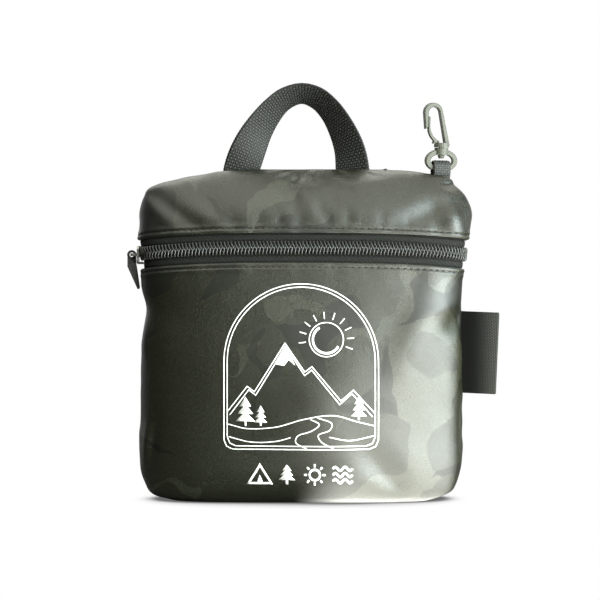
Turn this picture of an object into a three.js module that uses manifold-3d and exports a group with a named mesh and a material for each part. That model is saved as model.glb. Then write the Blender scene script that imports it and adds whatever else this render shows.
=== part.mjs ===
// A packable backpack folded away into its own zipped pocket. The pocket stands on its bottom edge:
// a soft, stuffed pouch of coated cloth with a coil zip across the front, a webbing carry handle, a
// folded pull tab in the right-hand seam and a swivel snap hook on a cloth loop at the right shoulder.
//
// Millimetres. +X is to the right of the front view, +Y to the back, +Z up. The origin is on the flat
// foot, under the widest line of the pouch.

import * as THREE from 'three';
import { mergeVertices } from 'three/addons/utils/BufferGeometryUtils.js';
import Module from 'manifold-3d';

// Pouch
const pouchWidth = 186;
const pouchHeight = 189;
const frontDepth = 27;
const backDepth = 20;
const clothWall = 1.5;
const seamSetback = 5; // the seam round the edge lies this far behind the widest line
const pieceGap = 0.3; // between neighbours that touch on the real bag

// Zip
const zipUp = 0.7582; // middle of the coil, as a share of the height, where the table of sections draws in
const zipDrop = 3.3; // how much lower the coil lies where it turns round the sides
const zipSlot = 16.8; // opening between the two hems
const tapeThickness = 0.8;
const tapeLap = 5; // tape that is tucked under each hem
const coilWidth = 7.8; // both sides of the coil, meshed
const coilThickness = 2.1;
const coilStandProud = 0.6; // coil above the cloth's face

// Slider and puller
const sliderLength = 13;
const sliderWidth = 10.6;
const sliderTailWidth = 9.4;
const sliderPlate = 1.2;
const sliderBow = 1.1; // how far the zip bows inside the slider, round the side of the pouch
const neckThickness = 2.2;
const neckLength = 2.6;
const bridgeSpan = 9.2;
const bridgeWindow = 6.4;
const bridgeClear = 2.3;
const bridgeBar = 1.4;
const pullerEyeOuter = 2.65;
const pullerEyeInner = 1.35;
const pullerThickness = 2.2;
const pullerLength = 20;
const pullerShoulder = 2.5; // outer edge at its fullest, out from the middle of the bar
const pullerTip = -3.9; // middle of the tip, in towards the cloth
const pullerTipWidth = 1.4;

// Carry handle
const webbingWidth = 20.5;
const webbingThickness = 2;
const handleSpan = 64; // between the middles of the two legs
const handleRise = 44.7; // middle of the webbing at its top, above the crown of the pouch
const handleShift = -2.3; // middle of the handle, sideways

// Cloth loop that holds the swivel eye
const loopFromSide = 12.1; // middle of the loop, in from the side of the pouch
const loopWidth = 9.8;
const loopThickness = 1.4;
const loopOverBar = 2; // slack of the loop above the eye's lower bar

// Swivel eye and snap hook
const hookTurn = 12; // degrees that the loop, the eye and the hook are turned, seen from above
const hookNod = 8; // degrees that the eye and the hook lean to the front
const eyeRise = 14.7; // middle of the eye above the seam
const eyeWidth = 19.2;
const eyeHeight = 13.4;
const eyeBar = 2.9;
const eyeDepth = 3.6;
const collarRadius = 4;
const collarHeight = 3.8;
const pinRadius = 1.5;
const pinHeadRadius = 2.2;
const pinTipRadius = 1.5;
const pinHeadLength = 2;
const flangeRadius = 4.4;
const flangeHeight = 2.6;
const hookDepth = 4.2;
const hookEdge = 0.45; // chamfer round the hook
const hookReach = 25.4; // from the flange's foot to the top of the crook
const crookRadius = 5.5;
const crookInner = 3.3;
const crookOffset = 6.1; // middle of the crook, left of the swivel's axis
const spineBase = 2.8; // width of the spine at the flange
const noseDrop = 9.6; // how far the nose comes down from the crook's middle
const noseWidth = 2.6;
const gateThickness = 1;
const gateRootRadius = 1.3;
const gateDepth = 3.4;

// Side tab
const tabWidth = 47;
const tabReach = 22.6; // out of the seam
const tabBelowCrown = 105; // from the crown of the pouch down to the middle of the tab
const tabLayer = 1.3;
const tabSlot = 0.5; // between the two folded layers
const tabLean = 2.5; // degrees

// Outline and fullness of the pouch, a row for each height. up is a share of the pouch's height, left
// and right are shares of half its width, front and back of its depths. square is the exponent of the
// section's rounded shape: 2 is an ellipse.
const sections = [
  { up: 0.0, left: 0.8, right: 0.795, front: 0.66, back: 0.5, square: 3.4 },
  { up: 0.016, left: 0.914, right: 0.906, front: 0.8, back: 0.66, square: 3.2 },
  { up: 0.043, left: 0.958, right: 0.954, front: 0.9, back: 0.78, square: 3.0 },
  { up: 0.107, left: 0.994, right: 0.99, front: 0.965, back: 0.92, square: 2.8 },
  { up: 0.295, left: 0.995, right: 0.995, front: 1.0, back: 1.0, square: 2.7 },
  { up: 0.448, left: 0.989, right: 0.993, front: 0.99, back: 1.0, square: 2.7 },
  { up: 0.565, left: 0.966, right: 0.991, front: 0.95, back: 0.97, square: 2.8 },
  { up: 0.66, left: 0.988, right: 0.995, front: 0.92, back: 0.93, square: 3.0 },
  { up: 0.735, left: 0.988, right: 1.017, front: 0.89, back: 0.9, square: 3.2 },
  { up: 0.77, left: 1.007, right: 1.023, front: 0.86, back: 0.88, square: 3.1 },
  { up: 0.804, left: 1.004, right: 1.032, front: 0.83, back: 0.84, square: 3.0 },
  { up: 0.86, left: 0.996, right: 1.052, front: 0.74, back: 0.76, square: 2.8 },
  { up: 0.914, left: 0.974, right: 1.02, front: 0.58, back: 0.62, square: 2.7 },
  { up: 0.951, left: 0.914, right: 0.952, front: 0.42, back: 0.47, square: 2.6 },
  { up: 0.982, left: 0.656, right: 0.88, front: 0.24, back: 0.3, square: 2.5 },
  { up: 1.0, left: 0.32, right: 0.54, front: 0.09, back: 0.12, square: 2.4 },
];

// Main folds and dents of the cloth. side is -1 for the front and 1 for the back. across is a share of
// half the width and up of the height, at the fold's middle. lean is its angle from upright in degrees,
// positive to the right. long and broad are half its size as shares of the width. out is its height as
// a share of the front's depth, and is negative for a dent.
const folds = [
  { side: -1, across: -0.86, up: 0.865, lean: -42, long: 0.1, broad: 0.026, out: 0.04 },
  { side: -1, across: -0.72, up: 0.865, lean: -42, long: 0.12, broad: 0.026, out: -0.045 },
  { side: -1, across: -0.56, up: 0.87, lean: -44, long: 0.12, broad: 0.03, out: 0.03 },
  { side: -1, across: -0.04, up: 0.94, lean: -20, long: 0.08, broad: 0.03, out: -0.1 },
  { side: -1, across: 0.12, up: 0.9, lean: -15, long: 0.1, broad: 0.035, out: 0.05 },
  { side: -1, across: 0.82, up: 0.875, lean: 75, long: 0.12, broad: 0.03, out: -0.09 },
  { side: -1, across: 0.74, up: 0.5, lean: 22, long: 0.3, broad: 0.045, out: 0.05 },
  { side: -1, across: 0.93, up: 0.53, lean: 60, long: 0.06, broad: 0.035, out: -0.12 },
  { side: -1, across: 0.56, up: 0.05, lean: -35, long: 0.12, broad: 0.04, out: -0.1 },
  { side: -1, across: 0.1, up: 0.08, lean: 70, long: 0.16, broad: 0.04, out: 0.06 },
  { side: -1, across: -0.93, up: 0.17, lean: 10, long: 0.08, broad: 0.02, out: -0.07 },
  { side: 1, across: -0.35, up: 0.55, lean: 30, long: 0.3, broad: 0.05, out: -0.07 },
  { side: 1, across: 0.4, up: 0.35, lean: -55, long: 0.28, broad: 0.05, out: -0.06 },
];

// Route of the handle's middle line. across is a share of half the span, up a share of the rise above
// the crown. turn is how far the face of the webbing is turned up from facing the front, in degrees.
const handleRoute = [
  { across: -1.06, up: -0.22, turn: 0 },
  { across: -1.0, up: 0.03, turn: 0 },
  { across: -0.875, up: 0.28, turn: 20 },
  { across: -0.7, up: 0.53, turn: 40 },
  { across: -0.45, up: 0.78, turn: 54 },
  { across: -0.22, up: 0.93, turn: 61 },
  { across: 0.08, up: 1.0, turn: 65 },
  { across: 0.36, up: 0.94, turn: 61 },
  { across: 0.6, up: 0.78, turn: 56 },
  { across: 0.81, up: 0.53, turn: 47 },
  { across: 0.945, up: 0.28, turn: 36 },
  { across: 1.0, up: 0.03, turn: 24 },
  { across: 1.01, up: -0.22, turn: 18 },
];

// Fineness of the meshes
const stepsRound = 44;
const stepsUp = 18;
const bundleStepsRound = 24;
const bundleStepsUp = 10;
const zipSteps = 14;
const handleSteps = 32;

const halfWidth = pouchWidth / 2;
const zipHeight = pouchHeight * zipUp;
const tapeOuter = clothWall + pieceGap; // depth of the tape's outer face below the cloth's face
const tapeInner = tapeOuter + tapeThickness;
const bundleInset = tapeInner + pieceGap + 0.6;
const seamBite = bundleInset - 2 * pieceGap; // strap ends caught in the seam
const coilInner = coilThickness - coilStandProud; // depth of the coil's inner face
const far = 2 * (pouchWidth + pouchHeight);

const wasm = await Module();
wasm.setup();

// A closed BufferGeometry as a manifold-3d solid.
function toSolid(geometry) {
  const bare = geometry.index ? geometry.toNonIndexed() : geometry.clone();
  for (const name of Object.keys(bare.attributes)) {
    if (name !== 'position') bare.deleteAttribute(name);
  }
  const merged = mergeVertices(bare, 1e-4);
  return new wasm.Manifold(new wasm.Mesh({
    numProp: 3,
    vertProperties: new Float32Array(merged.attributes.position.array),
    triVerts: new Uint32Array(merged.index.array),
  }));
}

// A manifold-3d solid as a BufferGeometry.
function toGeometry(solid) {
  const mesh = solid.getMesh();
  const geometry = new THREE.BufferGeometry();
  const places = [];
  for (let i = 0; i < mesh.vertProperties.length; i += mesh.numProp) {
    places.push(mesh.vertProperties[i], mesh.vertProperties[i + 1], mesh.vertProperties[i + 2]);
  }
  geometry.setAttribute('position', new THREE.Float32BufferAttribute(places, 3));
  geometry.setIndex(new THREE.Uint32BufferAttribute(Array.from(mesh.triVerts), 1));
  geometry.computeVertexNormals();
  return geometry;
}

// A closed body through rings of points, each ring anticlockwise seen from its far side, with the
// first and last rings closed by a fan.
function loft(rings) {
  const count = rings[0].length;
  const places = [];
  const faces = [];
  for (const ring of rings) {
    for (const p of ring) places.push(p.x, p.y, p.z);
  }
  for (let r = 0; r + 1 < rings.length; r++) {
    for (let i = 0; i < count; i++) {
      const a = r * count + i;
      const b = r * count + ((i + 1) % count);
      faces.push(a, b, b + count, a, b + count, a + count);
    }
  }
  for (const last of [false, true]) {
    const ring = last ? rings[rings.length - 1] : rings[0];
    const start = last ? (rings.length - 1) * count : 0;
    const middle = new THREE.Vector3();
    ring.forEach((p) => middle.addScaledVector(p, 1 / count));
    const hub = places.length / 3;
    places.push(middle.x, middle.y, middle.z);
    for (let i = 0; i < count; i++) {
      const a = start + i;
      const b = start + ((i + 1) % count);
      if (last) faces.push(a, b, hub);
      else faces.push(b, a, hub);
    }
  }
  const geometry = new THREE.BufferGeometry();
  geometry.setAttribute('position', new THREE.Float32BufferAttribute(places, 3));
  geometry.setIndex(faces);
  return geometry;
}

// A column of a table at a share along another column, on a smooth curve through its rows.
function readTable(table, key, along, share) {
  const last = table.length - 1;
  let i = 0;
  while (i < last - 1 && share > table[i + 1][along]) i++;
  const slope = (k) => {
    const before = table[Math.max(k - 1, 0)];
    const after = table[Math.min(k + 1, last)];
    return (after[key] - before[key]) / (after[along] - before[along]);
  };
  const gap = table[i + 1][along] - table[i][along];
  const t = (share - table[i][along]) / gap;
  const t2 = t * t;
  const t3 = t2 * t;
  return (2 * t3 - 3 * t2 + 1) * table[i][key] + (t3 - 2 * t2 + t) * gap * slope(i)
    + (3 * t2 - 2 * t3) * table[i + 1][key] + (t3 - t2) * gap * slope(i + 1);
}

// The pouch's section at a share of its height.
function sectionAt(up) {
  const share = Math.min(Math.max(up, 0), 1);
  return {
    left: halfWidth * readTable(sections, 'left', 'up', share),
    right: halfWidth * readTable(sections, 'right', 'up', share),
    front: frontDepth * readTable(sections, 'front', 'up', share),
    back: backDepth * readTable(sections, 'back', 'up', share),
    square: readTable(sections, 'square', 'up', share),
  };
}

// How far the folds move the cloth outwards at a place on the front or the back.
function foldHeight(side, x, z) {
  let height = 0;
  for (const fold of folds) {
    if (fold.side !== side) continue;
    const lean = THREE.MathUtils.degToRad(fold.lean);
    const dx = x - fold.across * halfWidth;
    const dz = z - fold.up * pouchHeight;
    const along = (dx * Math.sin(lean) + dz * Math.cos(lean)) / (fold.long * pouchWidth);
    const across = (dx * Math.cos(lean) - dz * Math.sin(lean)) / (fold.broad * pouchWidth);
    height += fold.out * frontDepth * Math.exp(-along * along - across * across);
  }
  return height;
}

// A point of the pouch's surface, or of a surface inset from it. turn goes round the section from +X,
// through the back at a quarter turn; up is a share of the height.
function pouchPoint(turn, up, inset) {
  const s = sectionAt(up);
  const c = Math.cos(turn);
  const n = Math.sin(turn);
  const reach = (Math.abs(c) ** s.square + Math.abs(n) ** s.square) ** (-1 / s.square);
  const ux = reach * c;
  const uy = reach * n;
  const wide = Math.max((ux > 0 ? s.right : s.left) - inset, 1);
  const deep = Math.max((uy < 0 ? s.front : s.back) - inset, 1);
  const z = inset + up * (pouchHeight - 2 * inset);
  const side = uy < 0 ? -1 : 1;
  const ends = Math.min(1, 8 * up) * Math.min(1, 10 * (1 - up)); // the foot and the crown stay plain
  const fold = foldHeight(side, ux * wide, z) * Math.min(1, 1.6 * Math.abs(uy)) * ends;
  return new THREE.Vector3(ux * wide, uy * deep + side * fold, z);
}

// The pouch as a closed body, inset from its outer face, or proud of it where inset is negative.
function pouchBody(inset, round = stepsRound, rows = stepsUp) {
  const rings = [];
  for (let r = 0; r <= rows; r++) {
    const up = 0.5 - 0.5 * Math.cos(Math.PI * r / rows);
    const ring = [];
    for (let i = 0; i < round; i++) ring.push(pouchPoint(2 * Math.PI * i / round, up, inset));
    rings.push(ring);
  }
  return toSolid(loft(rings));
}

// Height of the zip's middle line at a place across the pouch.
function zipLine(x) {
  const share = Math.min(Math.abs(x) / halfWidth, 1);
  return zipHeight - zipDrop * share ** 3;
}

// Everything between two lines that run a fixed height above or below the zip's middle line, in front
// of the seam.
function zipBand(low, high) {
  const outline = new THREE.Shape();
  const side = 1.4 * halfWidth;
  for (let i = 0; i <= zipSteps; i++) {
    const x = -side + 2 * side * i / zipSteps;
    if (i === 0) outline.moveTo(x, zipLine(x) + low);
    else outline.lineTo(x, zipLine(x) + low);
  }
  for (let i = zipSteps; i >= 0; i--) {
    const x = -side + 2 * side * i / zipSteps;
    outline.lineTo(x, zipLine(x) + high);
  }
  const slab = new THREE.ExtrudeGeometry(outline, { depth: far, bevelEnabled: false });
  slab.rotateX(Math.PI / 2);
  slab.translate(0, seamSetback - pieceGap / 2, 0);
  return toSolid(slab);
}

// A box between two corners.
function block(low, high) {
  const size = new THREE.Vector3().subVectors(high, low);
  const box = new THREE.BoxGeometry(size.x, size.y, size.z);
  box.translate(low.x + size.x / 2, low.y + size.y / 2, low.z + size.z / 2);
  return toSolid(box);
}

// The points of an outline, without any that lie on their neighbour.
function cleanPoints(points) {
  return points.filter((p, i) => p.distanceTo(points[(i + 1) % points.length]) > 0.01);
}

// A flat outline given thickness about its own plane, with chamfered edges if edge is not 0.
function slabOf(drawn, thickness, edge = 0, curveSegments = 16) {
  const outline = new THREE.Shape(cleanPoints(drawn.getPoints(curveSegments)));
  outline.holes = drawn.holes.map((hole) => new THREE.Path(cleanPoints(hole.getPoints(curveSegments))));
  const geometry = new THREE.ExtrudeGeometry(outline, {
    depth: thickness - 2 * edge,
    bevelEnabled: edge > 0,
    bevelThickness: edge,
    bevelSize: edge,
    bevelOffset: -edge,
    bevelSegments: 1,
    curveSegments,
  });
  geometry.translate(0, 0, -(thickness - 2 * edge) / 2);
  return geometry;
}

// The strap of the handle, or the same strap grown on every side to cut its way through the seam.
function handleStrap(grow = 0) {
  const shareOf = (i) => i / (handleRoute.length - 1);
  const route = new THREE.CatmullRomCurve3(handleRoute.map((row) => new THREE.Vector3(
    handleShift + row.across * handleSpan / 2,
    seamSetback,
    pouchHeight + row.up * handleRise,
  )));
  const turns = handleRoute.map((row, i) => ({ at: shareOf(i), turn: row.turn }));
  const rings = [];
  for (let i = 0; i <= handleSteps; i++) {
    const share = i / handleSteps;
    const middle = route.getPoint(share);
    const along = route.getTangent(share);
    const inward = new THREE.Vector3(along.z, 0, -along.x);
    const turn = THREE.MathUtils.degToRad(readTable(turns, 'turn', 'at', share));
    const across = inward.multiplyScalar(Math.cos(turn)).add(new THREE.Vector3(0, Math.sin(turn), 0));
    const out = new THREE.Vector3().crossVectors(across, along).normalize();
    const w = webbingWidth / 2 + grow;
    const t = webbingThickness / 2 + grow;
    rings.push([[-w, -t], [-w, t], [w, t], [w, -t]].map(([a, b]) => (
      middle.clone().addScaledVector(across, a).addScaledVector(out, b)
    )));
  }
  return toSolid(loft(rings));
}

// The frame of the cloth loop and, leaning forward in it, that of the eye and the hook. Both start at
// the middle of the eye, with +Y to the back.
const loopX = halfWidth - loopFromSide;
const eyeCentreHeight = seamSurface(loopX) + eyeRise;
const loopFrame = new THREE.Matrix4()
  .makeRotationZ(THREE.MathUtils.degToRad(hookTurn))
  .setPosition(loopX, seamSetback, eyeCentreHeight);
const lowerBar = (eyeHeight - eyeBar) / 2; // from the eye's middle down to the bar in the loop
const hookFrame = loopFrame.clone()
  .multiply(new THREE.Matrix4().makeTranslation(0, 0, -lowerBar))
  .multiply(new THREE.Matrix4().makeRotationX(THREE.MathUtils.degToRad(hookNod)))
  .multiply(new THREE.Matrix4().makeTranslation(0, 0, lowerBar));

// The folded cloth loop, sewn in at the shoulder and passing over the eye's lower bar.
function clothLoop(grow = 0) {
  const inside = eyeDepth / 2 + 2 * pieceGap;
  const outside = inside + loopThickness;
  const top = eyeBar - eyeHeight / 2 + loopOverBar + loopThickness + grow;
  const root = -eyeRise - seamBite - grow;
  const pinch = root + 2.2 * seamBite; // where the two legs close up, just above the seam
  const open = -eyeHeight / 2 - 2 * pieceGap; // where they have opened round the bar
  const outline = new THREE.Shape();
  outline.moveTo(loopThickness + grow, root);
  outline.lineTo(loopThickness + grow, pinch);
  outline.lineTo(outside + grow, open);
  outline.absarc(0, top - outside - grow, outside + grow, 0, Math.PI, false);
  outline.lineTo(-outside - grow, open);
  outline.lineTo(-loopThickness - grow, pinch);
  outline.lineTo(-loopThickness - grow, root);
  if (grow === 0) {
    const slit = pieceGap / 2;
    outline.lineTo(-slit, root);
    outline.lineTo(-slit, pinch);
    outline.lineTo(-inside, open);
    outline.absarc(0, top - outside, inside, Math.PI, 0, true);
    outline.lineTo(inside, open);
    outline.lineTo(slit, pinch);
    outline.lineTo(slit, root);
  }
  const strap = slabOf(outline, loopWidth + 2 * grow, 0, 8);
  // The outline's own x is front to back and its y is up.
  strap.applyMatrix4(new THREE.Matrix4().makeBasis(
    new THREE.Vector3(0, 1, 0), new THREE.Vector3(0, 0, 1), new THREE.Vector3(1, 0, 0),
  ));
  strap.applyMatrix4(loopFrame);
  return toSolid(strap);
}

// Height of the pouch's face at the seam, at a place across its top.
function seamSurface(x) {
  let low = 0.8;
  let high = 1;
  for (let i = 0; i < 30; i++) {
    const up = (low + high) / 2;
    const s = sectionAt(up);
    const wide = x > 0 ? s.right : s.left;
    const load = (Math.abs(x) / wide) ** s.square + (seamSetback / s.back) ** s.square;
    if (load < 1) low = up;
    else high = up;
  }
  return low * pouchHeight;
}

// The folded tab in the right-hand seam.
function sideTab(grow = 0) {
  const half = tabLayer + tabSlot / 2;
  const tabHeight = pouchHeight - tabBelowCrown;
  const section = sectionAt(tabHeight / pouchHeight);
  const seam = section.right * (1 - (seamSetback / section.back) ** section.square) ** (1 / section.square);
  const root = seam - seamBite - grow;
  const tip = seam + tabReach - half;
  const outline = new THREE.Shape();
  outline.moveTo(root, -half - grow);
  outline.lineTo(tip, -half - grow);
  outline.absarc(tip, 0, half + grow, -Math.PI / 2, Math.PI / 2, false);
  outline.lineTo(root, half + grow);
  if (grow === 0) {
    outline.lineTo(root, tabSlot / 2);
    outline.lineTo(tip, tabSlot / 2);
    outline.absarc(tip, 0, tabSlot / 2, Math.PI / 2, -Math.PI / 2, true);
    outline.lineTo(root, -tabSlot / 2);
  }
  const strip = slabOf(outline, tabWidth + 2 * grow, 0, 8);
  strip.translate(-seam, 0, 0);
  strip.rotateY(THREE.MathUtils.degToRad(tabLean));
  strip.translate(seam, seamSetback, tabHeight);
  return toSolid(strip);
}

// Distance of the pouch's left face from the middle, at a depth and a height.
function leftFace(y, z) {
  const s = sectionAt(z / pouchHeight);
  const load = Math.abs(y) / (y < 0 ? s.front : s.back);
  return s.left * (1 - load ** s.square) ** (1 / s.square);
}

// The slider's frame, on the left side where the zip ends: +X runs along the zip to the front, +Y up
// and +Z out of the cloth.
function sliderFrame() {
  const y = seamSetback - 1 - sliderLength / 2;
  const z = zipLine(halfWidth);
  const front = new THREE.Vector3(-leftFace(y - sliderLength / 2, z), y - sliderLength / 2, z);
  const back = new THREE.Vector3(-leftFace(y + sliderLength / 2, z), y + sliderLength / 2, z);
  const along = front.sub(back).normalize();
  const up = new THREE.Vector3(0, 0, 1);
  const out = new THREE.Vector3().crossVectors(along, up);
  return new THREE.Matrix4().makeBasis(along, up, out).setPosition(-leftFace(y, z), y, z);
}

const sliderPlace = sliderFrame();
const plateFoot = coilStandProud + pieceGap; // inner face of the slider's top plate
const plateTop = plateFoot + sliderPlate;
const barMiddle = plateTop + bridgeClear + bridgeBar / 2;
const neckFront = -sliderLength / 2 + 0.6 + neckLength;
const tapeSplit = neckThickness / 2 + pieceGap; // half the slit between the two tapes
const bottomFace = -tapeInner - pieceGap - sliderBow; // outer face of the slider's bottom plate

// One side of the coil or of the tape: a strip of a layer of the pouch, cut between two heights from
// the zip's middle line. grow makes it larger all round, to cut a channel for it.
function zipStrip(outer, inner, low, high, grow = 0) {
  const layer = pouchBody(outer - grow).subtract(pouchBody(inner + grow));
  return layer.intersect(zipBand(low - grow, high + grow));
}

// Zip coil, upper or lower side, ending in the slider.
function zipCoil(side, grow = 0) {
  const inner = pieceGap / 2;
  const outer = coilWidth / 2;
  const low = side > 0 ? inner : -outer;
  const high = side > 0 ? outer : -inner;
  const strip = zipStrip(-coilStandProud, coilInner, low, high, grow);
  const beyond = block(
    new THREE.Vector3(-far, -far / 4, -far / 4),
    new THREE.Vector3(neckFront + pieceGap - grow, far / 4, far / 4),
  ).transform(sliderPlace.elements);
  const leftHalf = block(new THREE.Vector3(-far, -far, -far), new THREE.Vector3(-halfWidth / 2, far, far));
  return strip.subtract(beyond.intersect(leftHalf));
}

// Zip tape, upper or lower side, tucked under its hem.
function zipTape(side, grow = 0) {
  const outer = zipSlot / 2 + tapeLap;
  const low = side > 0 ? tapeSplit : -outer;
  const high = side > 0 ? outer : -tapeSplit;
  return zipStrip(tapeOuter, tapeInner, low, high, grow);
}

// Outline of a slider plate, narrower at its tail, where the closed coil leaves it.
function plateOutline() {
  const half = sliderLength / 2;
  const shoulder = sliderWidth / 2;
  const tail = sliderTailWidth / 2;
  const round = 1.6;
  const outline = new THREE.Shape();
  outline.moveTo(-half, -shoulder + round);
  outline.quadraticCurveTo(-half, -shoulder, -half + round, -shoulder);
  outline.lineTo(half - round, -tail);
  outline.quadraticCurveTo(half, -tail, half, -tail + round);
  outline.lineTo(half, tail - round);
  outline.quadraticCurveTo(half, tail, half - round, tail);
  outline.lineTo(-half + round, shoulder);
  outline.quadraticCurveTo(-half, shoulder, -half, shoulder - round);
  outline.closePath();
  return outline;
}

// Slider: two plates joined by a neck between the tapes, flanges round the coil, and a bridge.
function zipSlider() {
  const flangeFoot = -tapeOuter + pieceGap;
  const shell = slabOf(plateOutline(), plateTop - flangeFoot, 0, 3);
  shell.translate(0, 0, (plateTop + flangeFoot) / 2);
  const bottom = slabOf(plateOutline(), sliderPlate, 0, 3);
  bottom.translate(0, 0, bottomFace - sliderPlate / 2);
  const neckFoot = bottomFace - sliderPlate / 2;
  const neckTop = plateTop - sliderPlate / 2;
  const neck = new THREE.BoxGeometry(neckLength, neckThickness, neckTop - neckFoot);
  neck.translate(neckFront - neckLength / 2, 0, (neckTop + neckFoot) / 2);

  const channelHalf = coilWidth / 2 + pieceGap;
  const channel = new THREE.BoxGeometry(far / 8, 2 * channelHalf, plateFoot - flangeFoot + 1);
  channel.translate(0, 0, plateFoot - (plateFoot - flangeFoot + 1) / 2);

  const arch = new THREE.Shape();
  const half = bridgeSpan / 2;
  const window = bridgeWindow / 2;
  const top = barMiddle + bridgeBar / 2;
  arch.moveTo(-half, plateTop - sliderPlate / 2);
  arch.lineTo(-half, top - bridgeBar);
  arch.quadraticCurveTo(-half, top, -half + bridgeBar, top);
  arch.lineTo(half - bridgeBar, top);
  arch.quadraticCurveTo(half, top, half, top - bridgeBar);
  arch.lineTo(half, plateTop - sliderPlate / 2);
  arch.lineTo(window, plateTop - sliderPlate / 2);
  arch.lineTo(window, top - bridgeBar);
  arch.lineTo(-window, top - bridgeBar);
  arch.lineTo(-window, plateTop - sliderPlate / 2);
  const bridge = slabOf(arch, bridgeBar, 0, 3);
  bridge.rotateX(Math.PI / 2); // its own y becomes outwards

  const plates = toSolid(shell).subtract(toSolid(channel)).add(toSolid(bottom)).add(toSolid(bridge));
  const placed = plates.transform(sliderPlace.elements);
  const layers = [1, -1].map((side) => zipTape(side, pieceGap).add(zipCoil(side, pieceGap)));
  const cut = placed.subtract(layers[0]).subtract(layers[1]);
  return cut.add(toSolid(neck).transform(sliderPlace.elements));
}

// Puller: an eye round the bridge's bar and a tapered tongue that hangs in beside the cloth.
function zipPuller() {
  const outline = new THREE.Shape();
  // Own x is outwards from the bar and own y is up.
  outline.absarc(0, 0, pullerEyeOuter, THREE.MathUtils.degToRad(-20), THREE.MathUtils.degToRad(200), false);
  outline.lineTo(-pullerEyeOuter, -sliderWidth / 2 - 0.4);
  outline.quadraticCurveTo(
    -pullerEyeOuter - 0.5, -pullerLength * 0.4,
    pullerTip - pullerTipWidth / 2, -pullerLength + pullerTipWidth,
  );
  outline.quadraticCurveTo(
    pullerTip - pullerTipWidth / 2, -pullerLength,
    pullerTip + pullerTipWidth / 2, -pullerLength + pullerTipWidth / 4,
  );
  outline.lineTo(pullerShoulder, -pullerLength * 0.34);
  const eye = new THREE.Path();
  eye.absarc(0, 0, pullerEyeInner, 0, 2 * Math.PI, true);
  outline.holes.push(eye);
  const tongue = slabOf(outline, pullerThickness, 0.3, 7);
  // Own z runs back along the zip.
  tongue.applyMatrix4(new THREE.Matrix4().makeBasis(
    new THREE.Vector3(0, 0, 1), new THREE.Vector3(0, 1, 0), new THREE.Vector3(-1, 0, 0),
  ));
  tongue.translate(0, 0, barMiddle);
  tongue.applyMatrix4(sliderPlace);
  return toSolid(tongue);
}

// A cylinder that stands upright in the hook's frame.
function upright(radius, bottom, top, sides = 24, radiusTop = radius) {
  const cylinder = new THREE.CylinderGeometry(radiusTop, radius, top - bottom, sides);
  cylinder.rotateX(Math.PI / 2);
  cylinder.translate(0, 0, (bottom + top) / 2);
  return toSolid(cylinder);
}

const collarBottom = eyeHeight / 2 - eyeBar - 0.2;
const collarTop = collarBottom + collarHeight;
const flangeFootZ = collarTop + pieceGap;
const flangeTop = flangeFootZ + flangeHeight;
const pinHeadTop = collarBottom - pieceGap;

// Swivel eye: an oval ring with a collar on its top bar, bored for the hook's pin.
function swivelEye() {
  const outline = new THREE.Shape();
  outline.absellipse(0, 0, eyeWidth / 2, eyeHeight / 2, 0, 2 * Math.PI, false, 0);
  const hole = new THREE.Path();
  hole.absellipse(0, 0, eyeWidth / 2 - eyeBar, eyeHeight / 2 - eyeBar, 0, 2 * Math.PI, true, 0);
  outline.holes.push(hole);
  const ring = slabOf(outline, eyeDepth, hookEdge, 12);
  ring.rotateX(Math.PI / 2);
  const bored = toSolid(ring)
    .add(upright(collarRadius, collarBottom, collarTop))
    .subtract(upright(pinRadius + pieceGap, collarBottom - 1, collarTop + 1));
  return bored.transform(hookFrame.elements);
}

const crookMiddle = flangeFootZ + hookReach - crookRadius;
const gatePivot = new THREE.Vector2(-collarRadius, flangeTop + gateRootRadius * 0.9);
const noseInner = -crookOffset + 0.4 - crookInner;

// Snap hook: pin, flange, spine, crook and nose in one piece, with a seat for the gate's root.
function snapHook() {
  const lean = Math.atan2(flangeRadius + crookOffset - crookRadius, crookMiddle - flangeTop);
  const outline = new THREE.Shape();
  outline.moveTo(flangeRadius - spineBase, flangeTop - flangeHeight / 2);
  outline.lineTo(flangeRadius, flangeTop - flangeHeight / 2);
  outline.absarc(-crookOffset, crookMiddle, crookRadius, lean, Math.PI * 1.02, false);
  outline.lineTo(noseInner - noseWidth / 2 - 0.2, crookMiddle - noseDrop);
  outline.lineTo(noseInner, crookMiddle - noseDrop + noseWidth / 2);
  outline.absarc(-crookOffset + 0.4, crookMiddle - 0.3, crookInner, Math.PI, lean, true);
  outline.closePath();
  const crook = slabOf(outline, hookDepth, hookEdge, 10);
  crook.rotateX(Math.PI / 2);
  const heel = new THREE.BoxGeometry(3.4, hookDepth - 0.6, 1.8);
  heel.translate(gatePivot.x + 0.3, 0, flangeTop + 0.3);
  const seat = new THREE.CylinderGeometry(
    gateRootRadius + pieceGap, gateRootRadius + pieceGap, 2 * hookDepth, 20,
  );
  seat.translate(gatePivot.x, 0, gatePivot.y);
  const body = toSolid(crook)
    .add(upright(flangeRadius, flangeFootZ, flangeTop))
    .add(toSolid(heel))
    .subtract(toSolid(seat))
    .add(upright(pinRadius, pinHeadTop - pinHeadLength / 2, flangeFootZ + flangeHeight / 2))
    .add(upright(pinTipRadius, pinHeadTop - pinHeadLength, pinHeadTop, 24, pinHeadRadius));
  return body.transform(hookFrame.elements);
}

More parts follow.
